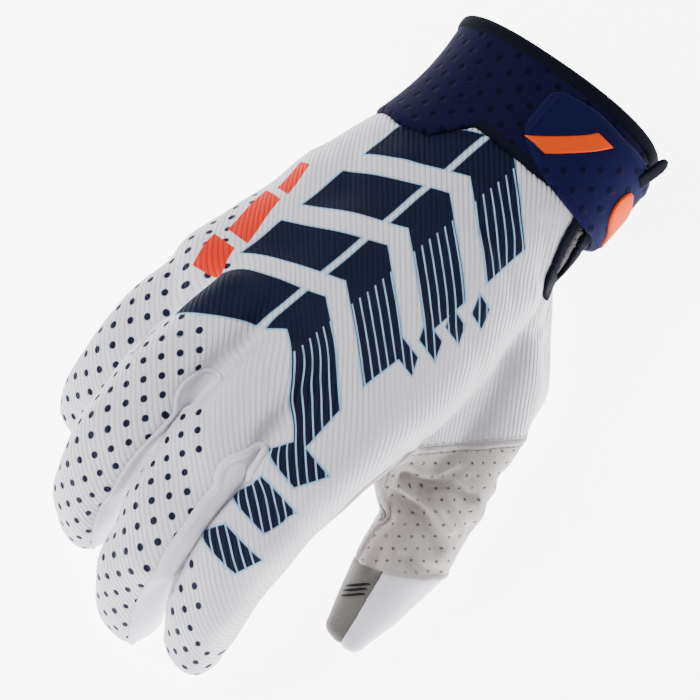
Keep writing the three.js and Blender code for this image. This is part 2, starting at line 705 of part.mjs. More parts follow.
// Materials
function material(color, roughness) {
  return new THREE.MeshStandardMaterial({ color, roughness, metalness: 0 });
}
const whiteStretch = material('#c6c5cc', 0.75);
const whiteSmooth = material('#d2d1d8', 0.7);
const suede = material('#aaa4a4', 0.9);
const palmCloth = material('#6a6662', 0.85);
const navyFoam = material('#14153a', 0.8);
const blackTape = material('#11131f', 0.75);
const navyStrap = material('#17174c', 0.75);
const orangePrint = material('#c8461a', 0.5);

const pieces = [
  ['back_panel', backPanel, whiteStretch],
  ['palm_panel', palmPanel, suede],
  ...gussets.map(({ name, solid }) => [name, solid, whiteSmooth]),
  ['thumb_saddle', saddle, suede],
  ['thumb_back', thumbBack, whiteSmooth],
  ['thumb_palm', thumbPalm, palmCloth],
  ['cuff', cuff, navyFoam],
  ['cuff_rim_tape', rimTape, blackTape],
  ['slit_tape', slitTape, blackTape],
  ['closure_strap', strap, navyStrap],
  ['strap_bar', bar, orangePrint],
  ['strap_patch', patch, orangePrint],
  ['pull_tab', pullTab, blackTape],
];

function meshOf(name, solid, look) {
  const { vertProperties, triVerts } = solid.getMesh();
  const geometry = new THREE.BufferGeometry();
  geometry.setAttribute('position', new THREE.BufferAttribute(Float32Array.from(vertProperties), 3));
  geometry.setIndex(new THREE.BufferAttribute(Uint32Array.from(triVerts), 1));
  geometry.computeVertexNormals();
  const mesh = new THREE.Mesh(geometry, look);
  mesh.name = name;
  return mesh;
}

// The hand leans as the glove rests, and its lowest point touches the surface under the origin
const hand = new THREE.Group();
hand.rotation.set(deg(restPitch), deg(restRoll), 0);
for (const [name, solid, look] of pieces) hand.add(meshOf(name, solid, look));

const glove = new THREE.Group();
glove.add(hand);
glove.updateMatrixWorld(true);
const box = new THREE.Box3().setFromObject(glove, true);
const middle = box.getCenter(new THREE.Vector3());
hand.position.set(-middle.x, -middle.y, -box.min.z);

export default glove;
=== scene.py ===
import math
from functools import reduce

import bpy
import numpy as np
from mathutils import Matrix, Vector
from mathutils.bvhtree import BVHTree
from mathutils.kdtree import KDTree


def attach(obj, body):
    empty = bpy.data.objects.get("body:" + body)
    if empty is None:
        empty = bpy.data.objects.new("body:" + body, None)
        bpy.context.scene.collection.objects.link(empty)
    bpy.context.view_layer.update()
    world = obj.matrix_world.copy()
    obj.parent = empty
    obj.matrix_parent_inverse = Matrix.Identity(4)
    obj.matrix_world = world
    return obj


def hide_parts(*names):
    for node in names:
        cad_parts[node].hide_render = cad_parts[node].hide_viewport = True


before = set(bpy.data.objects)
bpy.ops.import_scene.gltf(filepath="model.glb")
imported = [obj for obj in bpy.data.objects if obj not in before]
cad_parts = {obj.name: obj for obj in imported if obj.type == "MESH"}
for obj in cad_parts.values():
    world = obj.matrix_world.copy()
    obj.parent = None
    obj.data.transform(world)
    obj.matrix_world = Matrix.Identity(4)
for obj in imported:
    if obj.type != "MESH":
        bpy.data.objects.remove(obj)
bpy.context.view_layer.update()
rng = np.random.default_rng(7)

# The hand frame is in millimetres: +X to the thumb side, +Y to the cuff, +Z out of the back
hand = {
    "width": 94,
    "length": 116,
    "depth": 36,
    "cloth": 1.5,
    "voxel": 0.85,
    "bodyPower": 2.4,
    "fingerPower": 2.5,
    "pitch": -13.3,
    "roll": -4.9,
    "place": (-8.668, 15.653, 1.456),
}
restTurn = Matrix.Rotation(math.radians(hand["pitch"]), 4, "X") @ Matrix.Rotation(
    math.radians(hand["roll"]), 4, "Y"
)
handToRow = Matrix.Translation(Vector(hand["place"])) @ restTurn
rowScale = 0.001

bodyRows = {
    "along": (-0.582, -0.562, -0.490, -0.362, -0.216, -0.043, 0.129, 0.284, 0.414, 0.534, 0.647),
    "across": (0.016, 0.016, 0.016, 0.016, 0.011, -0.021, -0.053, -0.085, -0.104, -0.133, -0.170),
    "height": (0.875, 0.910, 1.035, 1.139, 1.083, 1.028, 1.000, 1.000, 1.028, 1.083, 1.139),
    "half": (0.440, 0.462, 0.480, 0.497, 0.490, 0.466, 0.436, 0.392, 0.378, 0.376, 0.378),
    "back": (0.130, 0.220, 0.300, 0.444, 0.500, 0.556, 0.583, 0.583, 0.583, 0.600, 0.617),
    "front": (0.210, 0.310, 0.380, 0.416, 0.500, 0.583, 0.611, 0.556, 0.528, 0.550, 0.570),
    "turn": (-8, -8, -4, 3, 5, 4, 3, 3, 5, 8, 12),
    "lean": (26, 25, 17, 4, 2, 4, 6, 8, 9, 10, 10),
    "roll": (7, 7, 5, 2, 0, 0, 0, 0, 0, 0, 0),
    "thumbSeam": (6, 6, -2, -8, -10, -14, -14, -3, 7, -3, -12),
    "outerSeam": (170, 170, 182, 191, 191, 191, 190, 189, 188, 188, 188),
}
fingers = [
    {"name": "index", "length": 92.7, "width": 24, "place": (0.394, -0.389, 1.103), "bones": (0.465, 0.283, 0.252),
     "bends": (26, 24, 23), "spread": 0.6, "girth": (1, 0.94, 0.86, 0.66), "thumbSeam": -26, "outerSeam": 145},
    {"name": "middle", "length": 104.5, "width": 24, "place": (0.111, -0.438, 1.272), "bones": (0.483, 0.295, 0.222),
     "bends": (29, 33, 20), "spread": 3.3, "girth": (1, 0.94, 0.88, 0.7), "thumbSeam": 36, "outerSeam": 158},
    {"name": "ring", "length": 97.2, "width": 23.4, "place": (-0.139, -0.403, 1.303), "bones": (0.456, 0.287, 0.257),
     "bends": (21, 35, 26), "spread": 0.2, "girth": (1, 0.96, 0.88, 0.7), "thumbSeam": 22, "outerSeam": 158},
    {"name": "pinky", "length": 79, "width": 20.6, "place": (-0.356, -0.283, 1.075), "bones": (0.446, 0.277, 0.277),
     "bends": (22, 25, 18), "spread": -5.9, "girth": (1, 0.95, 0.9, 0.7), "thumbSeam": 22, "outerSeam": 200},
]
fingerRoot = {"back": 0.17, "drop": 0.075, "girth": 0.86, "dome": 0.62}
thumb = {
    "length": 92,
    "width": 31,
    "root": (0.404, 0.086, 0.39),
    "side": (-0.270, -0.010, 0.125, 0.212, 0.258, 0.280),
    "along": (0.230, 0, -0.301, -0.558, -0.762, -0.917),
    "drop": (-0.150, 0, 0.076, 0.164, 0.239, 0.304),
    "girth": (0.82, 1, 0.96, 0.88, 0.68, 0.42),
    "across": (0.97, 0.24, 0),
    "dome": 0.24,
    "outerSeam": -45,
    "innerSeam": 112,
    "baseSeam": 140,
}
web = {
    "inner": ((-0.30, 0.13, -0.24), (-0.26, -0.08, -0.25), (-0.14, -0.30, -0.24), (-0.02, -0.48, -0.17),
              (0.05, -0.58, -0.08)),
    "outer": ((-0.12, 0.08, -0.07), (0.03, -0.12, 0.04), (0.10, -0.34, 0.07), (0.13, -0.52, 0.09),
              (0.13, -0.60, 0.06)),
    "thick": (0.30, 0.31, 0.27, 0.17, 0.07),
}
saddleTop = ((0.104, -0.617, -0.011), (0.087, -0.385, -0.120), (0.185, -0.070, 0.054))
saddleFoot = ((0.098, -0.734, 0.158), (0.364, -0.506, 0.190), (0.283, -0.691, 0.076))
cuffLine = {
    "across": (-0.9, -0.42, -0.34, -0.23, -0.157, 0.07, 0.265, 0.9),
    "along": (0.235, 0.232, 0.222, 0.25, 0.353, 0.379, 0.425, 0.44),
}
slit = {
    "along": (0.285, 0.345, 0.420, 0.520, 0.760),
    "turn": (-5, 5, 14, 3, -8),
    "width": 5,
    "start": 0.6,
    "tape": 6.6,
    "tapeFrom": 0.2,
    "openFrom": 0.25,
}
turnPerMillimetre = 360 / (2 * math.pi * hand["width"] * 0.33)


viewTurn, viewTilt, viewRoll = (math.radians(v) for v in (52.10, 59.94, -0.90))
towardsEye = np.array([
    math.sin(viewTurn) * math.cos(viewTilt), -math.cos(viewTurn) * math.cos(viewTilt), math.sin(viewTilt)])
level = np.array([math.cos(viewTurn), math.sin(viewTurn), 0])
rising = np.cross(towardsEye, level)
rightward = math.cos(viewRoll) * level + math.sin(viewRoll) * rising
upward = -math.sin(viewRoll) * level + math.cos(viewRoll) * rising
aimPoint = np.array([0, -10, 30])


def seenPlace(points):
    return (points - aimPoint) @ rightward, (points - aimPoint) @ upward


def unit(v):
    return v / np.maximum(np.linalg.norm(v, axis=-1, keepdims=True), 1e-9)


def smooth(low, high, value):
    t = np.clip((value - low) / (high - low), 0, 1)
    return t * t * (3 - 2 * t)


def bell(distance, reach):
    return np.exp(-(distance / reach) ** 2)


def roundedEdge(distance, radius):
    return np.sqrt(np.clip(1 - (1 - np.clip(distance / radius, 0, 1)) ** 2, 0, 1))


def superEllipse(angle, power):
    return (np.sign(v) * np.abs(v) ** (2 / power) for v in (np.cos(angle), np.sin(angle)))


def arcLengths(path):
    return np.concatenate([[0], np.cumsum(np.linalg.norm(np.diff(path, axis=0), axis=1))])


def alongPath(path, lengths, places):
    return np.stack([np.interp(places, lengths, path[:, k]) for k in range(3)], -1)


def eased(path, rounds):
    for _ in range(rounds):
        path[1:-1] = 0.5 * path[1:-1] + 0.25 * (path[:-2] + path[2:])
    return path


def tubeFaces(count, sides):
    faces = []
    for ring in range(count - 1):
        for i in range(sides):
            a, b = ring * sides + i, ring * sides + (i + 1) % sides
            faces.append((a, b, b + sides, a + sides))
    last = (count - 1) * sides
    for i in range(sides):
        j = (i + 1) % sides
        faces.append((j, i, count * sides))
        faces.append((last + i, last + j, count * sides + 1))
    return faces


def column(values, t):
    v = np.asarray(values, float)
    last = len(v) - 1
    t = np.asarray(t, float)
    at = np.clip(t, 0, last)
    i = np.minimum(np.floor(at).astype(int), last - 1)
    f = at - i
    a, b, c, d = (v[np.clip(i + k, 0, last)] for k in (-1, 0, 1, 2))
    curve = b + 0.5 * f * (c - a + f * (2 * a - 5 * b + 4 * c - d + f * (3 * (b - c) + d - a)))
    return np.where(t > last, v[last] + (t - last) * (v[last] - v[last - 1]), curve)


def rowAt(alongs):
    rows = np.array(bodyRows["along"])
    beyond = (alongs - rows[-1]) / (rows[-1] - rows[-2])
    return np.where(alongs > rows[-1], len(rows) - 1 + beyond, np.interp(alongs, rows, np.arange(len(rows))))


def bodySections(alongs):
    t = rowAt(np.asarray(alongs, float))
    at = {name: column(values, t) for name, values in bodyRows.items()}
    turn, lean, roll = (np.radians(at[name])[:, None] for name in ("turn", "lean", "roll"))
    forward = np.concatenate([-np.sin(turn) * np.cos(lean), np.cos(turn) * np.cos(lean), np.sin(lean)], 1)
    side = np.concatenate([np.cos(turn), np.sin(turn), 0 * turn], 1)
    side = side * np.cos(roll) - np.cross(forward, side) * np.sin(roll)
    centre = np.stack([at["across"] * hand["width"], at["along"] * hand["length"], at["height"] * hand["depth"]], 1)
    return {
        "centre": centre, "side": side, "up": np.cross(side, forward), "forward": forward,
        "half": at["half"] * hand["width"], "back": at["back"] * hand["depth"], "front": at["front"] * hand["depth"],
        "power": hand["bodyPower"], "thumbSeam": at["thumbSeam"], "outerSeam": at["outerSeam"], "along": at["along"],
    }


def curvePoints(joints, t):
    joints = np.asarray(joints, float)
    spans = len(joints) - 1
    padded = np.vstack([2 * joints[0] - joints[1], joints, 2 * joints[-1] - joints[-2]])
    at = np.clip(np.asarray(t, float) * spans, 0, spans)
    i = np.minimum(np.floor(at).astype(int), spans - 1)
    f = (at - i)[:, None]
    p0, p1, p2, p3 = (padded[i + k] for k in range(4))
    d0, d1, d2 = (np.sqrt(np.linalg.norm(b - a, axis=1))[:, None] for a, b in ((p0, p1), (p1, p2), (p2, p3)))
    m1 = ((p1 - p0) / d0 - (p2 - p0) / (d0 + d1) + (p2 - p1) / d1) * d1
    m2 = ((p2 - p1) / d1 - (p3 - p1) / (d1 + d2) + (p3 - p2) / d2) * d1
    start = (2 * f**3 - 3 * f**2 + 1) * p1 + (f**3 - 2 * f**2 + f) * m1
    return start + (3 * f**2 - 2 * f**3) * p2 + (f**3 - f**2) * m2


def bentTube(joints, widths, across, power, dome, steps=44, domeSteps=9):
    fine = curvePoints(joints, np.linspace(0, 1, 400))
    length = np.linalg.norm(np.diff(fine, axis=0), axis=1).sum()
    domeFrom = 1 - dome / length
    t = np.linspace(0, domeFrom, steps + 1)
    centre = curvePoints(joints, t)
    half = column(widths, t * (len(joints) - 1)) / 2
    s = np.sin(np.linspace(0, math.pi / 2, domeSteps + 1)[1:] * 0.985)
    start, end = curvePoints(joints, [domeFrom])[0], curvePoints(joints, [1])[0]
    centre = np.vstack([centre, start + (end - start) * s[:, None]])
    half = np.concatenate([half, half[-1] * np.sqrt(1 - s * s) * 0.99])
    ahead = curvePoints(joints, np.minimum(np.concatenate([t, np.full(domeSteps, domeFrom)]) + 0.004, 1))
    behind = curvePoints(joints, np.maximum(np.concatenate([t, np.full(domeSteps, domeFrom)]) - 0.004, 0))
    forward = unit(ahead - behind)
    side = np.asarray(across, float)[None, :]
    side = unit(side - forward * (forward @ side[0])[:, None])
    run = arcLengths(centre)
    return {"centre": centre, "side": side, "up": np.cross(forward, side), "forward": forward,
            "half": half, "back": half, "front": half, "power": power, "run": run}


def fingerTube(finger):
    across, along, height = finger["place"]
    point = np.array([across * hand["width"], along * hand["length"], height * hand["depth"]])
    spread = math.radians(finger["spread"])
    root = point + np.array([0, fingerRoot["back"], -fingerRoot["drop"]]) * finger["length"]
    joints, bend = [root, point], 0
    for bone, turn in zip(finger["bones"], finger["bends"]):
        bend += math.radians(turn)
        step = np.array([math.sin(spread) * math.cos(bend), -math.cos(spread) * math.cos(bend), -math.sin(bend)])
        joints.append(joints[-1] + step * bone * finger["length"])
    widths = [share * finger["width"] for share in (fingerRoot["girth"], *finger["girth"])]
    side = (math.cos(spread), math.sin(spread), 0)
    tube = bentTube(joints, widths, side, hand["fingerPower"], widths[-1] * fingerRoot["dome"])
    tube["joints"] = np.array(joints)
    return tube


thumbOrigin = np.array(thumb["root"]) * (hand["width"], hand["length"], hand["depth"])


def fromRoot(side, along, drop):
    return thumbOrigin + np.array([side, along, -drop]) * thumb["length"]


def thumbTube():
    joints = [fromRoot(*row) for row in zip(thumb["side"], thumb["along"], thumb["drop"])]
    widths = [share * thumb["width"] for share in thumb["girth"]]
    return bentTube(joints, widths, thumb["across"], hand["bodyPower"], thumb["width"] * thumb["dome"])


def webTube(steps=24):
    t = np.linspace(0, len(web["thick"]) - 1, steps + 1)
    rows = (np.stack([column([row[k] for row in web[name]], t) for k in range(3)], 1) for name in ("inner", "outer"))
    inner, outer = (row * (1, 1, -1) * thumb["length"] + thumbOrigin for row in rows)
    thick = column(web["thick"], t) * thumb["length"] / 2
    side = outer - inner
    half = np.linalg.norm(side, axis=1) / 2 + thick
    side = unit(side)
    forward = np.tile(np.array([[0.0, -1.0, 0.0]]), (len(t), 1))
    return {"centre": (inner + outer) / 2, "side": side, "up": unit(np.cross(forward, side)), "forward": forward,
            "half": half, "back": thick, "front": thick, "power": 2}


def ringsOf(tube, turns):
    c, s = superEllipse(np.radians(turns), tube["power"])
    depth = np.where(s[None, :] > 0, tube["back"][:, None], tube["front"][:, None])
    reach = c[None, :, None] * tube["half"][:, None, None]
    rise = s[None, :, None] * depth[:, :, None]
    return tube["centre"][:, None] + reach * tube["side"][:, None] + rise * tube["up"][:, None]


def closedTube(tube, sides):
    rings = ringsOf(tube, np.arange(sides) * 360 / sides)
    count = len(rings)
    points = np.vstack([rings.reshape(-1, 3), rings[0].mean(0), rings[-1].mean(0)])
    return points, tubeFaces(count, sides)


tubes = {"body": bodySections(np.arange(-0.582, 0.70, 0.012))}
for finger in fingers:
    tubes[finger["name"]] = fingerTube(finger)
tubes["thumb"] = thumbTube()
tubes["web"] = webTube()


def unionOf(parts, voxel):
    points, faces, base = [], [], 0
    for verts, polys in parts:
        points.append(verts)
        faces += [tuple(base + i for i in poly) for poly in polys]
        base += len(verts)
    mesh = bpy.data.meshes.new("form")
    mesh.from_pydata(np.vstack(points).tolist(), [], faces)
    obj = bpy.data.objects.new("form", mesh)
    bpy.context.collection.objects.link(obj)
    remesh = obj.modifiers.new("voxels", "REMESH")
    remesh.mode = "VOXEL"
    remesh.voxel_size = voxel
    made = obj.evaluated_get(bpy.context.evaluated_depsgraph_get()).to_mesh()
    made.calc_loop_triangles()
    verts = np.empty(len(made.vertices) * 3)
    made.vertices.foreach_get("co", verts)
    triangles = np.empty(len(made.loop_triangles) * 3, int)
    made.loop_triangles.foreach_get("vertices", triangles)
    bpy.data.objects.remove(obj)
    bpy.data.meshes.remove(mesh)
    return verts.reshape(-1, 3), triangles.reshape(-1, 3)


def pairsOf(triangles):
    return np.sort(np.vstack([triangles[:, [0, 1]], triangles[:, [1, 2]], triangles[:, [2, 0]]]), 1)


def edgesOf(triangles):
    return np.unique(pairsOf(triangles), axis=0)


def spread(values, edges, count):
    total = np.zeros((count,) + values.shape[1:])
    np.add.at(total, edges[:, 0], values[edges[:, 1]])
    np.add.at(total, edges[:, 1], values[edges[:, 0]])
    degree = np.bincount(edges.ravel(), minlength=count).astype(float)
    return total / np.maximum(degree, 1).reshape((-1,) + (1,) * (values.ndim - 1))


def relaxed(verts, edges, weight, rounds, keep=True):
    for _ in range(rounds):
        verts = verts + 0.5 * weight * (spread(verts, edges, len(verts)) - verts)
        if keep:
            verts = verts - 0.52 * weight * (spread(verts, edges, len(verts)) - verts)
    return verts


def normalsOf(verts, triangles):
    a, b, c = (verts[triangles[:, k]] for k in range(3))
    flat = np.cross(b - a, c - a)
    normals = np.zeros_like(verts)
    for k in range(3):
        np.add.at(normals, triangles[:, k], flat)
    return unit(normals)


def locate(tube, verts, byPlane):
    count = len(tube["centre"])
    best = np.empty(len(verts), int)
    for low in range(0, len(verts), 20000):
        part = verts[low:low + 20000]
        away = part[:, None] - tube["centre"][None]
        measure = np.abs((away * tube["forward"][None]).sum(2)) if byPlane else (away**2).sum(2)
        best[low:low + 20000] = measure.argmin(1)
    here = ((verts - tube["centre"][best]) * tube["forward"][best]).sum(1)
    other = np.clip(best + np.where(here > 0, 1, -1), 0, count - 1)
    there = ((verts - tube["centre"][other]) * tube["forward"][other]).sum(1)
    share = np.clip(here / np.where(np.abs(here - there) < 1e-6, 1, here - there), 0, 1)
    share = np.where(other == best, 0, share)

    def mixed(name):
        values = tube[name]
        f = share[:, None] if values.ndim > 1 else share
        return values[best] * (1 - f) + values[other] * f

    away = verts - mixed("centre")
    x = (away * mixed("side")).sum(1)
    z = (away * mixed("up")).sum(1)
    half = np.maximum(mixed("half"), 0.3)
    depth = np.maximum(np.where(z > 0, mixed("back"), mixed("front")), 0.3)
    p = tube["power"]
    c, s = np.abs(x) / half, np.abs(z) / depth
    level = (c**p + s**p) ** (1 / p)
    turn = np.degrees(np.arctan2(np.sign(z) * s ** (p / 2), np.sign(x) * c ** (p / 2)))
    beyond = np.abs(((verts - mixed("centre")) * mixed("forward")).sum(1))
    far = (level - 1) * np.minimum(half, depth) + beyond
    row = best + share * (other - best)
    return {"x": x, "z": z, "turn": turn, "far": far, "half": half, "depth": depth, "row": row}


def planeOf(points, towards):
    a, b, c = (fromRoot(*row) for row in points)
    normal = unit(np.cross(b - a, c - a))
    return (a, normal if normal @ np.asarray(towards) > 0 else -normal)


distal, outward = (0.3, -0.9, -0.3), (0.93, -0.1, 0.35)
topPlane, footPlane = planeOf(saddleTop, outward), planeOf(saddleFoot, distal)


def above(plane, verts):
    return (verts - plane[0]) @ plane[1]


def signedTurn(turn, middle):
    return (turn - middle + 540) % 360 - 180


def within(turn, low, high):
    return (high - low) / 2 - np.abs(signedTurn(turn, (low + high) / 2))


crotch = {"spare": 5, "reach": 8, "shift": 1.5, "deep": 14}


def gussetBlock(verts, a, b):
    first, second = tubes[a["name"]]["joints"], tubes[b["name"]]["joints"]
    slope = math.tan(math.radians(bodyRows["turn"][0]))
    line = bodyRows["along"][0] * hand["length"] + slope * (a["place"][0] + b["place"][0]) / 2 * hand["width"]
    crossings = []
    for joints in (first, second):
        knuckle, joint = joints[1], joints[2]
        crossings.append(knuckle + (joint - knuckle) * (line - knuckle[1]) / (joint[1] - knuckle[1]))
    gap = np.linalg.norm(crossings[0] - crossings[1]) - (a["width"] + b["width"]) / 2 + crotch["spare"]
    turn = math.radians(a["bends"][0])
    away = verts - (crossings[0] + crossings[1]) / 2
    y = away[:, 1] * math.cos(turn) + away[:, 2] * math.sin(turn)
    inside = 1 - np.hypot(away[:, 0] / (gap / 2), (y + crotch["shift"]) / crotch["reach"])
    return np.minimum(inside * gap / 2, crotch["deep"] - np.abs(away[:, 2])), line


# The hem of the saddle and the edge of the thumb's grey strip are lines in the camera's plane
seenEdges = {"hemUp": -43.5, "hemSlope": 0.07, "stripPlace": (7.6, 70.6), "stripNormal": (0.858, 0.514)}
seamBlend = {"reach": 1.6, "least": -2, "most": 40, "radius": 26, "thumbRadius": 12, "armReach": 3, "baseRow": 30}
gussetWall = {"taper": 16, "ahead": 10, "reach": 2.5}


# Each field is a signed distance in millimetres, more than 0 inside its piece
def fieldsOf(verts):
    at = {name: locate(tube, verts, name in ("body", "web")) for name, tube in tubes.items()}
    rows = np.arange(len(tubes["body"]["along"]))
    along = np.interp(at["body"]["row"], rows, tubes["body"]["along"])
    fields = {"at": at, "along": along}
    x, y = verts[:, 0], verts[:, 1]
    cuffX, cuffY = np.array(cuffLine["across"]) * hand["width"], np.array(cuffLine["along"]) * hand["length"]
    fields["cuff"] = y - np.interp(x, cuffX, cuffY)
    slitTurn = np.interp(along, slit["along"], slit["turn"])
    sideways = signedTurn(at["body"]["turn"], slitTurn) / turnPerMillimetre
    past = np.maximum((slit["along"][0] - along) * hand["length"] + slit["width"] * slit["start"], 0)
    fields["slit"] = np.hypot(sideways, past) - slit["width"] / 2
    weights, backs = [], []
    for name, tube in tubes.items():
        here = at[name]
        radius = np.minimum((here["half"] + here["depth"]) / 2, seamBlend["radius"])
        if name == "body":
            seams = [np.interp(here["row"], rows, tube[key]) for key in ("thumbSeam", "outerSeam")]
            value = within(here["turn"], *seams)
        elif name == "thumb":
            onBase = within(here["turn"], thumb["outerSeam"], thumb["baseSeam"])
            value = np.where(here["row"] < seamBlend["baseRow"], onBase, -20)
        elif name == "web":
            continue
        else:
            finger = next(f for f in fingers if f["name"] == name)
            value = within(here["turn"], finger["thumbSeam"], finger["outerSeam"])
        backs.append(value * np.pi / 180 * radius)
        weights.append(np.exp(-np.clip(here["far"], seamBlend["least"], seamBlend["most"]) / seamBlend["reach"]))
    weights, backs = np.array(weights), np.array(backs)
    fields["back"] = (weights * backs).sum(0) / weights.sum(0)
    onArm = (seamBlend["armReach"] - np.minimum(at["thumb"]["far"], at["web"]["far"])) * 2
    across, up = seenPlace(verts)
    belowHem = seenEdges["hemUp"] + seenEdges["hemSlope"] * across - up
    betweenPlanes = np.minimum(above(topPlane, verts), -above(footPlane, verts))
    fields["saddle"] = np.minimum(betweenPlanes, np.minimum(onArm, belowHem))
    fields["thumb"] = np.minimum(above(footPlane, verts), (seamBlend["armReach"] - at["thumb"]["far"]) * 2)
    outside = within(at["thumb"]["turn"], thumb["outerSeam"], thumb["innerSeam"])
    (right, down), (normalX, normalY) = seenEdges["stripPlace"], seenEdges["stripNormal"]
    strip = (across - right) * normalX - (up + down) * normalY
    fields["thumbBack"] = np.minimum(outside * np.pi / 180 * seamBlend["thumbRadius"], strip)
    for a, b in zip(fingers, fingers[1:]):
        block, line = gussetBlock(verts, a, b)
        walls = []
        for finger, middle, seam in ((a, 180, 180 - a["outerSeam"]), (b, 0, b["thumbSeam"])):
            here = at[finger["name"]]
            taper = smooth(0, gussetWall["taper"], line + gussetWall["ahead"] - y)
            wall = (seam * taper - np.abs(signedTurn(here["turn"], middle))) * np.pi / 180 * here["half"]
            wall = np.where(taper > 0, wall, -5)
            walls.append(np.minimum(wall, (gussetWall["reach"] - here["far"]) * 3))
        fields["gusset_" + a["name"] + "_" + b["name"]] = np.maximum(np.maximum(*walls), block)
    return fields


form = {"bodySides": 96, "tubeSides": 56, "firstRounds": 4, "creaseReach": 3.0, "creaseRounds": 7, "lastRounds": 3}
sides = {"body": form["bodySides"]}
closed = [closedTube(tube, sides.get(name, form["tubeSides"])) for name, tube in tubes.items()]
verts, triangles = unionOf(closed, hand["voxel"])
edges = edgesOf(triangles)
print("form", len(verts), "points", len(triangles), "triangles")
verts = relaxed(verts, edges, 1.0, form["firstRounds"])
distances = np.array([locate(tube, verts, name in ("body", "web"))["far"] for name, tube in tubes.items()])
secondNearest = np.maximum(np.sort(distances, 0)[1], 0)
verts = relaxed(verts, edges, bell(secondNearest, form["creaseReach"])[:, None], form["creaseRounds"], keep=False)
verts = relaxed(verts, edges, 1.0, form["lastRounds"])
print("smoothed")

fields = fieldsOf(verts)
gussetNames = [name for name in fields if name.startswith("gusset")]
scalars = ["cuff", "slit", "saddle", "thumb", "thumbBack", "back", "along", *gussetNames]
table = np.stack([fields[name] for name in scalars], 1)
where = {name: k for k, name in enumerate(scalars)}
print("fields")


def snap(verts, table, name, level=0.0, allowed=None):
    value = table[:, where[name]] - level
    a, b = edges[:, 0], edges[:, 1]
    crossing = value[a] * value[b] < 0
    if allowed is not None:
        crossing &= allowed[a] & allowed[b]
    a, b = a[crossing], b[crossing]
    first = np.abs(value[a]) <= np.abs(value[b])
    near, far = np.where(first, a, b), np.where(first, b, a)
    share = value[near] / (value[near] - value[far])
    move = np.zeros_like(verts)
    shift = np.zeros_like(table)
    hits = np.bincount(near, minlength=len(verts)).astype(float)[:, None]
    np.add.at(move, near, (verts[far] - verts[near]) * share[:, None])
    np.add.at(shift, near, (table[far] - table[near]) * share[:, None])
    hits = np.maximum(hits, 1)
    verts, table = verts + move / hits, table + shift / hits
    table[np.unique(near), where[name]] = level
    return verts, table


def at(name):
    return table[:, where[name]]


rimAlong = bodyRows["along"][-1]
onBody = fields["at"]["body"]["far"] < 8
verts, table = snap(verts, table, "along", rimAlong, onBody)
verts, table = snap(verts, table, "slit", 0, at("along") > slit["tapeFrom"])
verts, table = snap(verts, table, "slit", slit["tape"], at("cuff") < 0.5)
verts, table = snap(verts, table, "cuff")
cloth = at("cuff") < 0.1
verts, table = snap(verts, table, "saddle", 0, cloth)
verts, table = snap(verts, table, "thumb", 0, cloth & (at("saddle") < 0.5))
verts, table = snap(verts, table, "thumbBack", 0, at("thumb") > -0.2)
other = cloth & (at("saddle") < 0.1) & (at("thumb") < 0.1)
for name in gussetNames:
    verts, table = snap(verts, table, name, 0, other)
    other = other & (at(name) < 0.1)
verts, table = snap(verts, table, "back", 0, other)

centres = table[triangles].mean(1)


def over(name, level=0.0):
    return centres[:, where[name]] > level


pieceNames = ["gone", "cuff", "thumb_saddle", "thumb_back", "thumb_palm", *gussetNames, "back_panel", "palm_panel"]
labels = np.full(len(triangles), pieceNames.index("palm_panel"))
labels[over("back")] = pieceNames.index("back_panel")
for name in reversed(gussetNames):
    labels[over(name)] = pieceNames.index(name)
labels[over("thumb")] = pieceNames.index("thumb_palm")
labels[over("thumb") & over("thumbBack")] = pieceNames.index("thumb_back")
labels[over("saddle")] = pieceNames.index("thumb_saddle")
labels[over("cuff")] = pieceNames.index("cuff")
labels[~over("slit") & over("along", slit["openFrom"])] = 0
labels[over("along", rimAlong) & onBody[triangles].all(1)] = 0


def neighboursOf(triangles):
    pairs = pairsOf(triangles)
    owner = np.tile(np.arange(len(triangles)), 3)
    key = pairs[:, 0] * len(verts) + pairs[:, 1]
    order = np.argsort(key, kind="stable")
    key, owner, pairs = key[order], owner[order], pairs[order]
    same = key[1:] == key[:-1]
    return owner[:-1][same], owner[1:][same], pairs[:-1][same]


# Two rounds join each stray group of triangles to the piece that it touches most
left, right, shared = neighboursOf(triangles)
for _ in range(2):
    group = np.arange(len(triangles))
    alike = labels[left] == labels[right]
    a, b = left[alike], right[alike]
    while True:
        low = np.minimum(group[a], group[b])
        before = group.copy()
        np.minimum.at(group, a, low)
        np.minimum.at(group, b, low)
        group = group[group]
        if (group == before).all():
            break
    sizes = np.bincount(group, minlength=len(triangles))
    for k in range(len(pieceNames)):
        groups = np.unique(group[labels == k])
        strays = groups[groups != groups[sizes[groups].argmax()]] if len(groups) else []
        for stray in strays:
            inside = group == stray
            onRight, onLeft = right[inside[left] & ~inside[right]], left[inside[right] & ~inside[left]]
            touching = np.concatenate([labels[onRight], labels[onLeft]])
            if len(touching):
                labels[inside] = np.bincount(touching).argmax()
print("pieces", {pieceNames[k]: int((labels == k).sum()) for k in range(len(pieceNames))})

seamEdge = labels[left] != labels[right]
seamPoints = np.unique(shared[seamEdge])


def nearest(points, targets):
    tree = KDTree(len(targets))
    for i, p in enumerate(targets):
        tree.insert(p, i)
    tree.balance()
    return np.array([tree.find(p)[2] for p in points])


seamDistance = nearest(verts, verts[seamPoints])
normals = normalsOf(verts, triangles)
vertexLabel = np.zeros(len(verts), int)
for k in range(3):
    vertexLabel[triangles[:, k]] = labels
isCuff = vertexLabel == pieceNames.index("cuff")

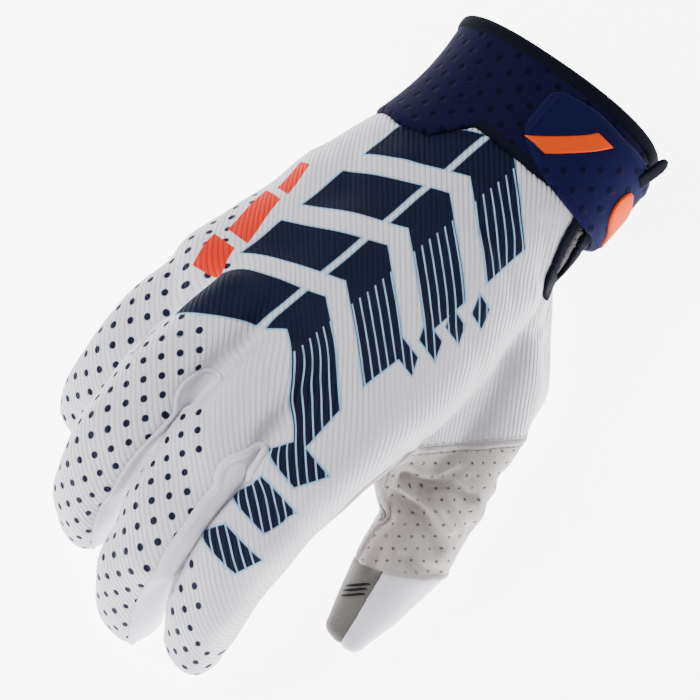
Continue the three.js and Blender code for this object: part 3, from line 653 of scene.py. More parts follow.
# The cloth laid flat, for the print and the ribs
pattern = {"drop": 0.6, "dropFrom": 0.3, "reach": 2.5, "least": -1, "most": 30, "ribTurn": 52}
flatX, flatY, weight = (np.zeros(len(verts)) for _ in range(3))
for name, tube in tubes.items():
    if name in ("thumb", "web"):
        continue
    here = fields["at"][name]
    drop = np.maximum(here["depth"] - here["z"], 0)
    index = np.clip(here["row"], 0, len(tube["centre"]) - 1)
    middleX = np.interp(index, np.arange(len(tube["centre"])), tube["centre"][:, 0])
    bent = pattern["drop"] * drop * smooth(pattern["dropFrom"], 1, np.abs(here["x"]) / here["half"])
    x = middleX + here["x"] + np.sign(here["x"]) * bent
    y = verts[:, 1]
    if name != "body":
        run = np.interp(index, np.arange(len(tube["run"])), tube["run"])
        y = tube["joints"][0][1] - run
    w = np.exp(-np.clip(here["far"], pattern["least"], pattern["most"]) / pattern["reach"])
    flatX, flatY, weight = flatX + w * x, flatY + w * y, weight + w
flatX, flatY = flatX / weight, flatY / weight

ribTurn = math.radians(pattern["ribTurn"])
ribU = flatX * math.cos(ribTurn) + flatY * math.sin(ribTurn)
ribV = -flatX * math.sin(ribTurn) + flatY * math.cos(ribTurn)
onArm = np.isin(vertexLabel, [pieceNames.index(n) for n in ("thumb_saddle", "thumb_back", "thumb_palm")])
ribU = np.where(onArm, verts @ rightward, ribU)
ribV = np.where(onArm, verts @ upward, ribV)

# Each fold has its reach and depth and then its line, in the hand frame
folds = [
    (2.6, -0.9, ((40, 14, 44), (24, 21, 53), (8, 22, 58))),
    (2.4, 0.8, ((36, 24, 36), (22, 28, 50), (4, 29, 57))),
    (3.2, -0.7, ((46, -6, 34), (36, -2, 48), (22, -6, 56))),
    (3.0, 0.6, ((46, -26, 36), (38, -34, 47), (30, -46, 50))),
    (3.4, -0.6, ((-38, 16, 46), (-28, 6, 57), (-20, -6, 61))),
    (3.0, 0.6, ((-42, 4, 44), (-34, -8, 57), (-26, -20, 60))),
    (4.0, -0.9, ((-2, -36, 62), (-1, -52, 60), (0, -66, 50))),
    (3.6, -0.8, ((-26, -30, 62), (-27, -46, 59), (-27, -58, 48))),
    (4.0, -0.9, ((25, -44, 58), (25.5, -56, 54), (25.6, -66, 46))),
    (3.2, -2.4, ((25.5, -64, 50), (25.6, -73, 44))),
    (7.5, 3.6, ((25.2, -76, 42), (24.5, -92, 31), (24, -106, 16))),
    (2.6, -2.2, ((-0.6, -64, 52), (-0.8, -73, 47))),
    (4.6, 1.5, ((-1.0, -80, 43), (-1.4, -94, 33), (-1.6, -104, 20))),
    (2.6, -2.2, ((-27, -56, 50), (-28, -65, 44))),
    (4.4, 1.2, ((-29, -72, 40), (-30.5, -84, 30), (-31, -92, 20))),
    (8.0, -3.0, ((65, -33, -8), (68, -46, -12), (67, -60, -16), (64, -75, -20))),
    (2.2, -0.8, ((30, 30, 42), (27, 34, 46), (20, 38, 50))),
    (2.6, 0.7, ((-40, 30, 40), (-32, 24, 50), (-20, 20, 57))),
    (3.0, -0.5, ((40, -40, 48), (33, -46, 52), (25, -50, 54))),
    (2.2, -1.7, ((52, -30, 35), (57, -40, 22), (66, -48, 8))),
    (2.4, -1.9, ((52, -28, 35), (60, -26, 22), (68, -26, 6))),
    (2.6, 1.5, ((52, -29, 35), (58, -33, 22), (66, -38, 8))),
    (2.8, -1.3, ((50, -20, 34), (58, -14, 20), (64, -8, 4))),
    (2.2, -1.3, ((50, -36, 33), (53, -46, 20), (58, -56, 6))),
]


def lineDistance(points, line):
    best = np.full(len(points), 1e9)
    for a, b in zip(line, line[1:]):
        a, b = np.array(a, float), np.array(b, float)
        t = np.clip(((points - a) @ (b - a)) / ((b - a) @ (b - a)), 0, 1)
        best = np.minimum(best, np.linalg.norm(points - a - t[:, None] * (b - a), axis=1))
    return best


heel = (9.0, -4.6, ((40, 24, 20), (46, 15, 14), (54, 4, 8), (61, -8, 0), (64, -20, -5)))
# Folds that show from above the thumb: their lines lie in the camera's plane
creases = {
    "arm": [
        (1.5, 1.6, ((11.1, -48.2), (17.8, -50.0), (24.3, -46.8))),
        (1.6, -2.2, ((9.7, -51.1), (15.5, -52.9), (21.9, -52.3), (28.9, -55.8))),
        (1.5, 2.1, ((8.5, -53.8), (14.3, -57.0), (19.3, -61.3), (22.5, -65.4))),
        (1.8, -2.1, ((9.1, -57.0), (13.7, -60.5), (17.2, -65.4), (19.0, -70.7))),
        (2.0, -2.2, ((11.1, -49.4), (7.9, -54.6), (3.8, -62.2))),
        (2.0, -1.3, ((28.9, -51.1), (34.8, -57.6), (35.3, -63.4))),
        (1.6, -1.4, ((9.1, -73.9), (14.3, -76.8), (19.0, -78.0))),
    ],
    "back": [
        (2.4, -1.1, ((55.2, 0.8), (52.3, -4.5), (49.3, -8.5))),
        (2.2, 0.7, ((59.5, 8.1), (55.8, 0.8))),
    ],
}
ripple = {"waves": 14, "height": 0.11, "perMillimetre": (0.18, 0.42)}
groove = {"depth": 0.5, "reach": 0.8}
cuffForm = {"calm": 0.7, "lift": 0.9, "edge": 1.6, "wall": 2.9, "hem": 8, "hemFrom": -14, "hemTo": -20}
puff = np.zeros(len(verts))
for reach, depth, line in [*folds, heel]:
    puff += depth * bell(lineDistance(verts, line), reach)
seen = np.stack(seenPlace(verts), 1)
facing = smooth(0.05, 0.3, normals @ towardsEye)
for side, lines in creases.items():
    here = facing * (onArm if side == "arm" else ~onArm)
    for reach, depth, line in lines:
        puff += here * depth * bell(lineDistance(seen, line), reach)
for _ in range(ripple["waves"]):
    wave = unit(rng.normal(size=3)) * rng.uniform(*ripple["perMillimetre"])
    puff += ripple["height"] * np.sin(verts @ wave + rng.uniform(0, 6.28))
lift = puff * (1 - cuffForm["calm"] * isCuff) - groove["depth"] * bell(seamDistance, groove["reach"])
lift += isCuff * cuffForm["lift"] * smooth(0, cuffForm["edge"], np.abs(at("cuff")))
shaped = relaxed(verts + normals * lift[:, None], edges, 1.0, 1)
print("shaped")


def toRow(points):
    points = np.asarray(points, float).reshape(-1, 3)
    turn = np.array(handToRow.to_3x3())
    placed = (points @ turn.T + np.array(handToRow.translation)) * rowScale
    placed[:, 2] = np.maximum(placed[:, 2], 0.00005)
    return placed


def makePiece(name, points, faces, material, slotName, attributes=None, node=None, wall=0):
    mesh = bpy.data.meshes.new(name)
    mesh.from_pydata(toRow(points).tolist(), [], [tuple(int(i) for i in face) for face in faces])
    mesh.update()
    for key, values in (attributes or {}).items():
        values = np.asarray(values, float)
        kind = "FLOAT_VECTOR" if values.ndim > 1 else "FLOAT"
        layer = mesh.attributes.new(key, kind, "POINT")
        layer.data.foreach_set("vector" if values.ndim > 1 else "value", values.ravel())
    mesh.polygons.foreach_set("use_smooth", np.ones(len(mesh.polygons), bool))
    obj = bpy.data.objects.new(name, mesh)
    bpy.context.collection.objects.link(obj)
    mesh.materials.append(material)
    if wall:
        thick = obj.modifiers.new("wall", "SOLIDIFY")
        thick.thickness = wall * rowScale
        thick.offset = -1
    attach(obj, "root")
    if node:
        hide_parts(node)
    return obj


class Value:
    def __init__(self, tree, socket):
        self.tree, self.socket = tree, socket

    def node(self, kind, inputs=None, output=0, **settings):
        made = self.tree.nodes.new(kind)
        for key, value in settings.items():
            setattr(made, key, value)
        for key, value in (inputs or {}).items():
            if isinstance(value, Value):
                self.tree.links.new(value.socket, made.inputs[key])
            else:
                made.inputs[key].default_value = value
        return Value(self.tree, made.outputs[output])

    def math(self, operation, *others):
        return self.node("ShaderNodeMath", dict(enumerate((self, *others))), operation=operation)

    def __add__(self, other):
        return self.math("ADD", other)

    __radd__ = __add__

    def __sub__(self, other):
        return self.math("SUBTRACT", other)

    def __rsub__(self, other):
        return (self * -1) + other

    def __mul__(self, other):
        return self.math("MULTIPLY", other)

    __rmul__ = __mul__

    def __truediv__(self, other):
        return self.math("DIVIDE", other)

    def __rtruediv__(self, other):
        return self.math("POWER", -1.0) * other

    def __neg__(self):
        return self * -1

    def __abs__(self):
        return self.math("ABSOLUTE")

    def low(self, other):
        return self.math("MINIMUM", other)

    def high(self, other):
        return self.math("MAXIMUM", other)

    def wrap(self, period):
        return self.math("FLOORED_MODULO", period)

    def hypot(self, other):
        return (self * self + other * other).math("SQRT")

    def step(self, low, high):
        inputs = {"Value": self, "From Min": low, "From Max": high, "To Min": 0.0, "To Max": 1.0}
        return self.node("ShaderNodeMapRange", inputs, interpolation_type="SMOOTHSTEP")

    def tint(self, below, above):
        inputs = {0: self, 6: below, 7: above}
        return self.node("ShaderNodeMix", inputs, output=2, data_type="RGBA")


def startMaterial(name, color, roughness, sheen=0.0, gloss=0.15):
    material = bpy.data.materials.new(name)
    material.use_nodes = True
    shader = material.node_tree.nodes["Principled BSDF"]
    shader.inputs["Base Color"].default_value = (*color, 1)
    shader.inputs["Roughness"].default_value = roughness
    shader.inputs["Sheen Weight"].default_value = sheen
    shader.inputs["Specular IOR Level"].default_value = gloss
    return material, shader


def attribute(material, name, kind="Vector"):
    made = material.node_tree.nodes.new("ShaderNodeAttribute")
    made.attribute_name = name
    return Value(material.node_tree, made.outputs[kind])


def split(vector):
    made = vector.node("ShaderNodeSeparateXYZ", {0: vector})
    node = made.socket.node
    return [Value(vector.tree, node.outputs[k]) for k in range(3)]


def feed(shader, value, socket):
    value.tree.links.new(value.socket, shader.inputs[socket])


def emboss(shader, height, distance):
    bump = height.node("ShaderNodeBump", {"Height": height, "Distance": distance, "Strength": 1.0})
    feed(shader, bump, "Normal")


# Distance to the nearest of the points that stand in offset rows
def offsetRows(u, v, step):
    offset = (v / step).math("FLOOR").wrap(2.0) * (step / 2)
    return ((u + offset).wrap(step) - step / 2).hypot(v.wrap(step) - step / 2)


def printedCloth():
    inks = {
        "white": (0.60, 0.59, 0.64, 1), "ribGrooveShade": (0.53, 0.52, 0.57, 1), "navy": (0.0018, 0.004, 0.018, 1),
        "halo": (0.27, 0.42, 0.60, 1), "red": (0.55, 0.016, 0.003, 1),
    }
    rib = {"step": 1.55, "relief": 0.00022}
    dot = {"radius": 1.05, "step": 5.3, "blur": 0.22, "edgeSlope": 1.05, "edge": 66.3}
    chevron = {"lean": 0.1, "slope": 0.62, "period": 25.0, "stroke": 8.2, "reach": 29.0, "from": -53.0, "to": 46.0,
               "notch": 1.1, "notchPlace": 6.0, "line": 0.22, "lineStep": 3.1, "linesFrom": 7}
    # Each bar has its centre, half its size and its slant
    navyBars = [((31.5 + k * 1.1, -22.0 + k * 9.0), (5.0 - 0.6 * k, 2.6), 0.75) for k in range(4)]
    navyBars += [((37.0, -64.0), (7.0, 4.2), -0.55), ((37.5, -77.0), (7.4, 4.6), -0.55),
                 ((37.8, -91.0), (7.4, 3.6), -0.55)]
    redBars = [((-36.0, -26.0), (5.2, 8.8), 0.45), ((-41.0, -8.5), (3.6, 6.0), 0.45),
               ((-31.0, -43.5), (5.2, 5.2), 0.45)]
    material, shader = startMaterial("printedStretch", inks["white"][:3], 0.8)
    u, v, _ = split(attribute(material, "ribs"))
    x, y, _ = split(attribute(material, "flat"))

    def bars(rows):
        for (right, up), (width, height), slant in rows:
            px, py = x - right, y - up
            yield (abs(px + py * slant) - width).high(abs(py) - height)

    fromMiddle = x + y * chevron["lean"]
    vee = y + abs(fromMiddle) * chevron["slope"]
    stroke = abs(vee.wrap(chevron["period"]) - chevron["period"] / 2) - chevron["stroke"]
    area = (abs(fromMiddle) - chevron["reach"]).high(vee - chevron["to"]).high(chevron["from"] - vee)
    notch = chevron["notch"] - abs(fromMiddle + chevron["notchPlace"])
    navy = reduce(Value.low, bars(navyBars), stroke.high(area).high(notch))
    red = reduce(Value.low, bars(redBars))
    lines = abs(vee.wrap(chevron["lineStep"]) - chevron["lineStep"] / 2) - chevron["line"]
    lined = lines.high(fromMiddle * -1 + chevron["linesFrom"]).step(0.18, -0.05)
    dotU, dotV = (place.wrap(dot["step"]) - dot["step"] / 2 for place in (u, v))
    dots = dotU.hypot(dotV) - dot["radius"]
    # A dot is there or not as a whole, so its cell's middle decides
    cellU, cellV = u - dotU, v - dotV
    cellX = cellU * math.cos(ribTurn) - cellV * math.sin(ribTurn)
    cellY = cellU * math.sin(ribTurn) + cellV * math.cos(ribTurn)
    onFingers = (cellY + cellX * dot["edgeSlope"] + dot["edge"]).step(0.2, -0.2)
    weave = abs(u.wrap(rib["step"]) / rib["step"] - 0.5) * 2
    # Painted shade: the groove of each rib takes the darker shade ink
    cloth = weave.step(0.0, 0.4).tint(inks["ribGrooveShade"], inks["white"])
    cloth = (dots.step(dot["blur"], -dot["blur"]) * onFingers).tint(cloth, inks["navy"])
    cloth = navy.step(1.0, 0.35).tint(cloth, inks["halo"])
    cloth = navy.step(0.3, -0.15).tint(cloth, lined.tint(inks["navy"], inks["halo"]))
    cloth = red.step(0.2, -0.2).tint(cloth, inks["red"])
    feed(shader, cloth, "Base Color")
    emboss(shader, weave.step(0.0, 0.7), rib["relief"])
    return material


def smoothCloth():
    grain = {"perMillimetre": 4.2, "relief": 0.00003}
    material, shader = startMaterial("smoothStretch", (0.62, 0.61, 0.67), 0.65)
    waves = [(place * grain["perMillimetre"]).math("SINE") for place in split(attribute(material, "ribs"))[:2]]
    emboss(shader, waves[0] * waves[1], grain["relief"])
    return material


def perforatedSuede():
    suede = {"dark": (0.34, 0.305, 0.30, 1), "light": (0.48, 0.435, 0.425, 1), "holeShade": (0.12, 0.10, 0.10, 1),
             "step": 3.5, "hole": 0.40, "nap": 0.25, "relief": 0.0004}
    material, shader = startMaterial("perforatedSuede", (0.38, 0.34, 0.33), 0.9, 0.1)
    place = attribute(material, "ribs")
    u, v, _ = split(place)
    hole = offsetRows(u, v, suede["step"]) - suede["hole"]
    speck = place.node("ShaderNodeTexNoise", {"Vector": place, "Scale": 1.3, "Detail": 3.0})
    cloth = speck.tint(suede["dark"], suede["light"])
    # Painted shade: some holes are coloured dark inside, as shade in the hollow
    cloth = (hole.step(0.15, -0.1) * speck.step(0.38, 0.52)).tint(cloth, suede["holeShade"])
    feed(shader, cloth, "Base Color")
    emboss(shader, hole.step(-0.2, 0.2) + speck * suede["nap"], suede["relief"])
    return material


def greySuede(name, color):
    suede = {"contrast": 0.2, "scale": 1.1, "detail": 4.0, "relief": 0.0002}
    material, shader = startMaterial(name, color, 0.9, 0.3)
    place = attribute(material, "ribs")
    noise = place.node("ShaderNodeTexNoise", {"Vector": place, "Scale": suede["scale"], "Detail": suede["detail"]})
    dark, light = ([share * c for c in color] for share in (1 - suede["contrast"], 1 + suede["contrast"]))
    feed(shader, noise.tint((*dark, 1), (*light, 1)), "Base Color")
    emboss(shader, noise, suede["relief"])
    return material


# dark is the painted shade colour that fills the dimples
def dimpledFoam(name, color, dark, hem):
    foam = {"step": 5.6, "inner": 0.5, "outer": 1.5, "plainFrom": 50.0, "hem": (2.9, 2.5), "hemRise": 0.6,
            "hemColor": (0.004, 0.0045, 0.010, 1), "relief": 0.00035}
    material, shader = startMaterial(name, color, 0.8, 0.0, 0.04)
    u, v, _ = split(attribute(material, "ribs"))
    height = offsetRows(u, v, foam["step"]).step(foam["inner"], foam["outer"])
    if not hem:
        height = height.high(v.step(foam["plainFrom"], foam["plainFrom"] + 1))
    # Painted shade: the dimples take the dark colour, as shade in their hollows
    base = height.tint((*dark, 1), (*color, 1))
    if hem:
        edge = attribute(material, "edge", "Fac")
        rim = edge.step(*foam["hem"])
        base = rim.tint(base, foam["hemColor"])
        height = height * edge.step(2.5, 3.1) + rim * foam["hemRise"]
    feed(shader, base, "Base Color")
    emboss(shader, height, foam["relief"])
    return material


def wovenTape(name, color):
    weave = {"perMillimetre": 5.0, "relief": 0.00008}
    material, shader = startMaterial(name, color, 0.85, 0.0, 0.04)
    u, v, _ = split(attribute(material, "ribs"))
    emboss(shader, ((u + v) * weave["perMillimetre"]).math("SINE") * 0.5, weave["relief"])
    return material


def rubberPrint():
    return startMaterial("orangeRubber", (0.62, 0.055, 0.004), 0.7, 0.0, 0.04)[0]


def thread():
    return startMaterial("darkThread", (0.008, 0.008, 0.009), 0.9)[0]


looks = {
    "stretch_cloth": printedCloth(),
    "smooth_cloth": smoothCloth(),
    "suede": perforatedSuede(),
    "palm_suede": greySuede("palmSuede", (0.36, 0.34, 0.34)),
    "palm_cloth": greySuede("thumbSuede", (0.115, 0.108, 0.10)),
    # The second colour of each foam look is the painted shade in its dimples
    "navy_foam": dimpledFoam("navyFoam", (0.0045, 0.004, 0.023), (0.0025, 0.0025, 0.012), True),
    "black_tape": wovenTape("blackTape", (0.004, 0.0045, 0.009)),
    "navy_strap": dimpledFoam("navyStrap", (0.005, 0.005, 0.034), (0.003, 0.003, 0.017), False),
    "orange_print": rubberPrint(),
    "suede_edge": greySuede("saddleEdge", (0.38, 0.35, 0.35)),
    "dark_thread": thread(),
}

ribs = np.stack([ribU, ribV, 0 * ribU], 1)
flat = np.stack([flatX, flatY, 0 * flatX], 1)
hemPlace = np.abs(at("cuff")) + cuffForm["hem"] * smooth(cuffForm["hemFrom"], cuffForm["hemTo"], verts[:, 0])


def shellPiece(name, slotName, look, wall):
    chosen = triangles[labels == pieceNames.index(name)]
    used, local = np.unique(chosen, return_inverse=True)
    attributes = {"ribs": ribs[used], "flat": flat[used], "edge": hemPlace[used]}
    faces = local.reshape(-1, 3)
    return makePiece(name + "_cloth", shaped[used], faces, looks[look], slotName, attributes, name, wall)


shells = [("back_panel", "stretch_cloth", "stretch_cloth"), ("palm_panel", "suede", "palm_suede")]
shells += [(name, "smooth_cloth", "smooth_cloth") for name in gussetNames]
shells += [("thumb_saddle", "suede", "suede"), ("thumb_back", "smooth_cloth", "smooth_cloth")]
shells += [("thumb_palm", "palm_cloth", "palm_cloth"), ("cuff", "navy_foam", "navy_foam")]
for name, slotName, look in shells:
    shellPiece(name, slotName, look, cuffForm["wall"] if name == "cuff" else hand["cloth"])
print("shell pieces")


def skinPoints(alongs, turns, offsets):
    alongs, turns, offsets = (v.ravel() for v in np.broadcast_arrays(alongs, turns, offsets))
    tube = bodySections(alongs)
    c, s = superEllipse(np.radians(turns), tube["power"])
    depth = np.where(s > 0, tube["back"], tube["front"])
    reach, rise = (c * (tube["half"] + offsets))[:, None], (s * (depth + offsets))[:, None]
    return tube["centre"] + reach * tube["side"] + rise * tube["up"]


def slab(outer, inner):
    rows, count = outer.shape[:2]
    points = np.vstack([outer.reshape(-1, 3), inner.reshape(-1, 3)])
    base = rows * count
    faces = []
    for r in range(rows - 1):
        for k in range(count - 1):
            a = r * count + k
            faces.append((a, a + 1, a + count + 1, a + count))
            faces.append((base + a, base + a + count, base + a + count + 1, base + a + 1))
    ring = list(range(count)) + [r * count + count - 1 for r in range(1, rows)]
    ring += [(rows - 1) * count + k for k in range(count - 2, -1, -1)] + [r * count for r in range(rows - 2, 0, -1)]
    for a, b in zip(ring, ring[1:] + ring[:1]):
        faces.append((b, a, base + a, base + b))
    return points, faces


def planar(points):
    return np.stack([points @ rightward, points @ upward, 0 * points[:, 0]], 1)


def slabPiece(name, alongs, turns, low, high, slotName, node):
    outer = skinPoints(alongs, turns, high).reshape(alongs.shape + (3,))
    inner = skinPoints(alongs, turns, low).reshape(alongs.shape + (3,))
    points, faces = slab(outer, inner)
    return makePiece(name + "_shaped", points, faces, looks[slotName], slotName, {"ribs": planar(points)}, node)


strap = {
    "turn": (84, 77, 62, 42, 22, 0, -24, -50, -72, -84),
    "along": (0.520, 0.508, 0.500, 0.495, 0.498, 0.503, 0.500, 0.497, 0.497, 0.497),
    "width": (0.62, 0.8, 0.98, 1, 1, 0.94, 0.92, 0.92, 0.92, 0.7),
    "wide": 23, "skin": 1.15, "wall": 2.2, "rows": 170, "across": 46, "endRadius": 3.5, "endCut": 3.0,
    "edge": 1.1, "edgeShare": 0.65, "line": 2.1, "lineHeight": 0.4, "lineReach": 0.45,
}


def strapGrid():
    t = np.linspace(0, len(strap["turn"]) - 1, strap["rows"])
    turns, along, width = (column(strap[key], t) for key in ("turn", "along", "width"))
    half = width * strap["wide"] / 2
    fromEnd = np.minimum(turns[0] - turns, turns - turns[-1]) / turnPerMillimetre
    half = half - strap["endCut"] * (1 - roundedEdge(fromEnd, strap["endRadius"]))
    share = np.linspace(-1, 1, strap["across"])
    alongs = along[:, None] + share[None] * half[:, None] / hand["length"]
    edge = np.minimum((1 - np.abs(share))[None] * half[:, None], fromEnd[:, None])
    return alongs, np.repeat(turns[:, None], strap["across"], 1), edge


strapAlong, strapTurn, strapEdge = strapGrid()
strapTop = strap["skin"] + strap["wall"]
strapHigh = strapTop - strap["wall"] * strap["edgeShare"] * (1 - roundedEdge(strapEdge, strap["edge"]))
strapHigh += strap["lineHeight"] * bell(strapEdge - strap["line"], strap["lineReach"])
slabPiece("closure_strap", strapAlong, strapTurn, strap["skin"], strapHigh, "navy_strap", "closure_strap")
rubber = {"sunk": 0.3, "seat": 0.15, "height": 0.6, "edge": 0.5, "least": 0.2}


def printTop(edge):
    return strapTop + rubber["seat"] + rubber["height"] * np.clip(edge / rubber["edge"], rubber["least"], 1)


def barGrid():
    bar = {"turn": 62, "along": 0.503, "slant": 1.03, "length": 13.6, "width": 6.4}
    share = np.linspace(-0.5, 0.5, 48)[:, None]
    side = np.linspace(-0.5, 0.5, 14)[None]
    turns = bar["turn"] - (share * bar["length"] + side * bar["width"]) * turnPerMillimetre
    alongs = bar["along"] + share * bar["slant"] * bar["length"] / hand["length"] + 0 * side
    edge = np.minimum((0.5 - np.abs(share)) * bar["length"] * 1.4, (0.5 - np.abs(side)) * bar["width"])
    return alongs, turns, printTop(edge)


def patchGrid():
    patch = {"turn": -3, "along": 0.484, "reach": 34, "width": 10, "bow": 1.6, "shift": -1, "slant": 3.2}
    share = np.linspace(-1, 1, 44)[:, None]
    side = np.linspace(-1, 1, 16)[None]
    reach = patch["width"] / 2 * np.sqrt(np.maximum(1 - share**4, 0.03))
    bow = patch["bow"] * (1 - share**2) + patch["shift"] - patch["slant"] * share
    alongs = patch["along"] + (side * reach + bow) / hand["length"]
    turns = patch["turn"] - share * patch["reach"] / 2 + 0 * side
    edge = (1 - np.abs(side)) * reach + 0 * share
    return alongs, turns, printTop(edge)


for name, (alongs, turns, high) in (("strap_bar", barGrid()), ("strap_patch", patchGrid())):
    slabPiece(name, alongs, turns, strapTop - rubber["sunk"], high, "orange_print", name)


def tubeAlong(path, across, outwards, widths, walls, sides=20, power=2.6):
    c, s = superEllipse(np.arange(sides) * 2 * np.pi / sides, power)
    reach, rise = ((v[None] * sizes[:, None])[..., None] for v, sizes in ((c, widths), (s, walls)))
    rings = path[:, None] + across[:, None] * reach + outwards[:, None] * rise
    count = len(path)
    points = np.vstack([rings.reshape(-1, 3), path[0], path[-1]])
    return points, tubeFaces(count, sides)


def tapePiece(name, tube, node):
    points, faces = tube
    makePiece(name, points, faces, looks["black_tape"], "black_tape", {"ribs": planar(points)}, node)


def rimTape():
    tape = {"depth": 4.5, "wall": 2.25, "middle": -0.65, "steps": 220, "gap": 2.6, "sides": 24, "power": 3.2}
    gap = tape["gap"] * turnPerMillimetre
    turns = np.linspace(slit["turn"][-1] + gap, slit["turn"][-1] + 360 - gap, tape["steps"])
    along = rimAlong - tape["depth"] / 2 / hand["length"]
    path = skinPoints(along, turns, tape["middle"])
    out = unit(skinPoints(along, turns, 4) - skinPoints(along, turns, -4))
    ahead = unit(skinPoints(along + 0.02, turns, 0) - skinPoints(along - 0.02, turns, 0))
    widths, walls = np.full(len(turns), tape["depth"] / 2), np.full(len(turns), tape["wall"])
    tube = tubeAlong(path, ahead, out, widths, walls, tape["sides"], tape["power"])
    tapePiece("cuff_rim_binding", tube, "cuff_rim_tape")


rimTape()


def slitTape():
    tape = {"wall": 1.0, "lift": 1.1, "edge": 0.9, "edgeShare": 0.55, "underCuff": 0.4}
    chosen = over("slit") & ~over("slit", slit["tape"])
    chosen &= ~over("cuff", tape["underCuff"]) & over("along", slit["tapeFrom"])
    used, local = np.unique(triangles[chosen], return_inverse=True)
    edge = np.minimum(at("slit")[used], slit["tape"] - at("slit")[used])
    rise = tape["lift"] * (1 - tape["edgeShare"] * (1 - roundedEdge(edge, tape["edge"])))
    points = verts[used] + normals[used] * (puff[used] + rise)[:, None]
    attributes, faces = {"ribs": ribs[used]}, local.reshape(-1, 3)
    makePiece("slit_binding", points, faces, looks["black_tape"], "black_tape", attributes, "slit_tape", tape["wall"])


slitTape()


def pullTab():
    tab = {"turn": 8, "along": 0.575, "lift": 20, "length": 9, "width": 5.4, "wall": 1.7, "steps": 26,
           "sunk": 1.5, "droop": 0.7, "thin": 0.35, "sides": 20, "power": 3}
    foot = skinPoints(tab["along"], tab["turn"], strapTop + 0.1)[0]
    rise = unit(skinPoints(tab["along"], tab["turn"], strapTop + 30)[0] - foot)
    onward = unit(skinPoints(tab["along"] + 0.1, tab["turn"], strapTop)[0] - foot)
    lift = math.radians(tab["lift"])
    out = unit(onward * math.cos(lift) + rise * math.sin(lift))
    ahead = unit(np.cross(rise, out))
    thick = np.cross(out, ahead)
    foot = foot - out * tab["sunk"]
    t = np.linspace(0, 1, tab["steps"])
    whole, radius = tab["length"] + tab["sunk"], tab["width"] / 2
    run = t * whole
    path = foot + out * run[:, None] - thick * (tab["droop"] * t**2)[:, None]
    end = np.clip((run - (whole - radius)) / radius, 0, 0.995)
    widths, walls = radius * np.sqrt(1 - end**2), tab["wall"] / 2 * (1 - tab["thin"] * end)
    across, outwards = (np.tile(v, (len(t), 1)) for v in (ahead, thick))
    tube = tubeAlong(path, across, outwards, widths, walls, tab["sides"], tab["power"])
    tapePiece("pull_tab_folded", tube, "pull_tab")


pullTab()
print("trims")
surface = BVHTree.FromPolygons(shaped.tolist(), triangles.tolist())


def seamPaths(first, second, shortest=6, spacing=0.5, rounds=10):
    a, b = pieceNames.index(first), pieceNames.index(second)
    here = ((labels[left] == a) & (labels[right] == b)) | ((labels[left] == b) & (labels[right] == a))
    links = {}
    for p, q in shared[here]:
        links.setdefault(int(p), []).append(int(q))
        links.setdefault(int(q), []).append(int(p))
    paths, used = [], set()
    starts = [p for p in links if len(links[p]) != 2] + list(links)
    for start in starts:
        for step in links[start]:
            if (start, step) in used:
                continue
            path = [start, step]
            used |= {(start, step), (step, start)}
            while len(links[path[-1]]) == 2:
                ahead = [q for q in links[path[-1]] if (path[-1], q) not in used]
                if not ahead:
                    break
                used |= {(path[-1], ahead[0]), (ahead[0], path[-1])}
                path.append(ahead[0])
            paths.append(shaped[path])
    made = []
    for path in paths:
        lengths = arcLengths(path)
        if lengths[-1] >= shortest:
            even = np.linspace(0, lengths[-1], max(int(lengths[-1] / spacing), 3))
            made.append(eased(alongPath(path, lengths, even), rounds))
    return made


def onSurface(point, lift=0.0):
    place, normal, _, _ = surface.find_nearest(Vector(point))
    return np.array(place) + np.array(normal) * lift, np.array(normal)


def stitchRow(path, side, shape):
    points, faces = [], []
    lengths = arcLengths(path)
    for run in np.arange(shape["step"] / 2, lengths[-1], shape["step"]):
        centre = alongPath(path, lengths, run)
        places = np.clip((run - shape["sample"], run + shape["sample"]), 0, lengths[-1])
        behind, front = alongPath(path, lengths, places)
        ahead = unit(front - behind)
        _, normal = onSurface(centre)
        across = unit(np.cross(normal, ahead))
        centre, normal = onSurface(centre + across * side, shape["lift"])
        across = unit(np.cross(normal, ahead))
        base = len(points)
        for end, size in shape["rings"]:
            middle = centre + ahead * end * shape["length"] / 2
            for angle in np.arange(6) * math.pi / 3:
                out = across * math.cos(angle) + normal * math.sin(angle)
                points.append(middle + out * shape["radius"] * size)
        for ring in range(3):
            for k in range(6):
                a, b = base + ring * 6 + k, base + ring * 6 + (k + 1) % 6
                faces.append((a, b, b + 6, a + 6))
        faces.append(tuple(base + k for k in range(5, -1, -1)))
        faces.append(tuple(base + 18 + k for k in range(6)))
    return points, faces


def stitching(name, rows, look, slotName):
    points, faces = [], []
    for made, polys in rows:
        faces += [tuple(len(points) + i for i in poly) for poly in polys]
        points += made
    if points:
        makePiece(name, points, faces, looks[look], slotName)


def piping(name, paths, radius, look, slotName, lift=0.1):
    points, faces = [], []
    for path in paths:
        if len(path) < 6:
            continue
        placed = [onSurface(p, lift) for p in path]
        line, outwards = eased(np.array([p for p, _ in placed]), 4), np.array([n for _, n in placed])
        ahead = unit(np.gradient(line, axis=0))
        across = unit(np.cross(outwards, ahead))
        place = np.arange(len(line))
        wide = radius * np.minimum(1, np.sqrt(np.minimum(place + 0.3, len(line) - place) / 6))
        made, polys = tubeAlong(line, across, np.cross(ahead, across), wide, wide, 10, 2)
        base = sum(len(p) for p in points)
        points.append(made)
        faces += [tuple(base + i for i in poly) for poly in polys]
    if points:
        points = np.vstack(points)
        makePiece(name, points, faces, looks[look], slotName, {"ribs": planar(points)})


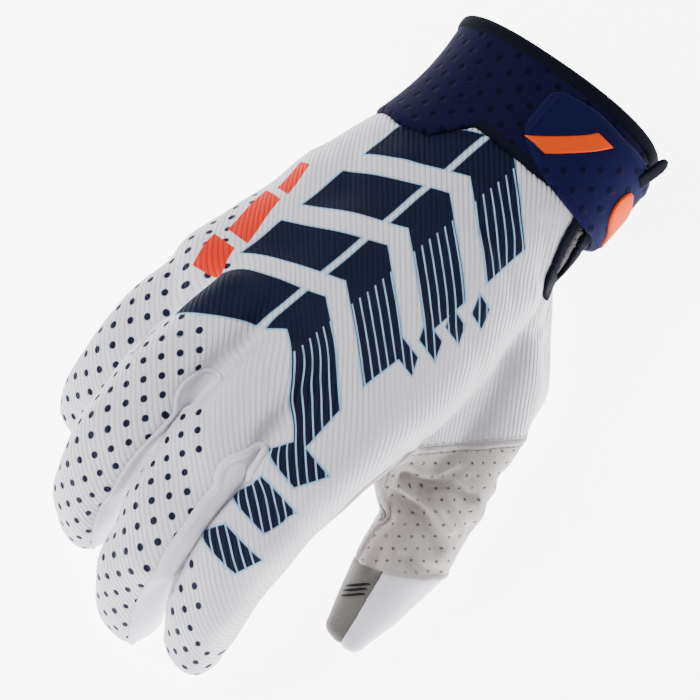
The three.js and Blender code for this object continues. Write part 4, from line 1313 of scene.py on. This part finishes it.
seams = {"saddle": 1.0, "crotchLip": 1.25, "fingerLip": 0.8}
fine = {"step": 2.3, "length": 1.7, "radius": 0.24, "lift": 0.12, "aside": 1.6, "sample": 0.6,
        "rings": ((-1, 0.35), (-0.7, 0.9), (0.7, 0.9), (1, 0.35))}
saddleSeams = {other: seamPaths("thumb_saddle", other) for other in ("back_panel", "palm_panel", "thumb_back")}
piping("saddle_piping", sum(saddleSeams.values(), []), seams["saddle"], "suede_edge", "suede")
for name in gussetNames:
    lip = seams["crotchLip"] if name == gussetNames[0] else seams["fingerLip"]
    piping(name + "_lip", seamPaths(name, "back_panel"), lip, "smooth_cloth", "smooth_cloth")
sewn = saddleSeams["back_panel"] + saddleSeams["palm_panel"]
rows = [stitchRow(path, side, fine) for path in sewn for side in (fine["aside"], -fine["aside"])]
stitching("saddle_stitching", rows, "suede_edge", "suede")


zigzag = {
    "lines": (((-7.3, -81.8), (-0.3, -80.9)), ((-8.1, -83.2), (-1.1, -82.3)), ((-8.7, -84.7), (-1.7, -83.8))),
    "wave": 0.4, "waveLength": 1.5, "step": 0.35, "radius": 0.38,
}


# A line that is drawn in the camera's plane, laid on the glove
def seenLine(points):
    points = np.array(points, float)
    length = np.linalg.norm(np.diff(points, axis=0), axis=1).sum()
    share = np.linspace(0, 1, max(int(length / zigzag["step"]), 4))
    line = points[0] + (points[-1] - points[0]) * share[:, None]
    line[:, 1] += zigzag["wave"] * np.sin(share * length / zigzag["waveLength"] * 2 * np.pi)
    found = []
    for across, up in line:
        start = aimPoint + rightward * across + upward * up + towardsEye * 200
        place, _, _, _ = surface.ray_cast(Vector(start), Vector(-towardsEye))
        if place is not None:
            found.append(np.array(place))
    return np.array(found)


threads = [seenLine(line) for line in zigzag["lines"]]
piping("thumb_stitching", threads, zigzag["radius"], "dark_thread", "black_tape")
print("stitches")

floorMesh = bpy.data.meshes.new("floor")
floorMesh.from_pydata([(-3, -3, 0), (3, -3, 0), (3, 3, 0), (-3, 3, 0)], [], [(0, 1, 2, 3)])
floor = bpy.data.objects.new("floor", floorMesh)
bpy.context.collection.objects.link(floor)
stage = {"paper": (0.95, 0.95, 0.95), "paperGlow": 7.0, "sky": 0.38}
floorLook, floorShader = startMaterial("paper", stage["paper"], 0.9)
floorShader.inputs["Emission Color"].default_value = (1, 1, 1, 1)
floorShader.inputs["Emission Strength"].default_value = stage["paperGlow"]
floorMesh.materials.append(floorLook)

world = bpy.data.worlds.new("studio")
bpy.context.scene.world = world
world.use_nodes = True
background = world.node_tree.nodes["Background"]
background.inputs["Color"].default_value = (1, 1, 1, 1)
background.inputs["Strength"].default_value = stage["sky"]


def areaLight(name, place, size, power):
    light = bpy.data.lights.new(name, "AREA")
    light.size = size
    light.energy = power
    obj = bpy.data.objects.new(name, light)
    bpy.context.collection.objects.link(obj)
    obj.location = place
    obj.rotation_euler = (-Vector(place)).to_track_quat("-Z", "Y").to_euler()


areaLight("key", (-0.35, -0.25, 0.7), 0.3, 8.0)
areaLight("fill", (0.6, 0.1, 0.6), 0.6, 2.2)

view = {"lens": 211.6, "away": 1200, "shiftRight": -6.09, "shiftUp": -13.79}
cameraData = bpy.data.cameras.new("camera")
cameraData.lens = view["lens"]
cameraData.sensor_width = 36
cameraData.clip_end = 20
camera = bpy.data.objects.new("camera", cameraData)
bpy.context.collection.objects.link(camera)
bpy.context.scene.camera = camera
aim = aimPoint + rightward * view["shiftRight"] + upward * view["shiftUp"]
eye = toRow(aim + towardsEye * view["away"])[0]
turn = Matrix([list(row) for row in np.stack([rightward, upward, towardsEye], 1)])
camera.matrix_world = Matrix.Translation(Vector(eye)) @ (handToRow.to_3x3() @ turn).to_4x4()
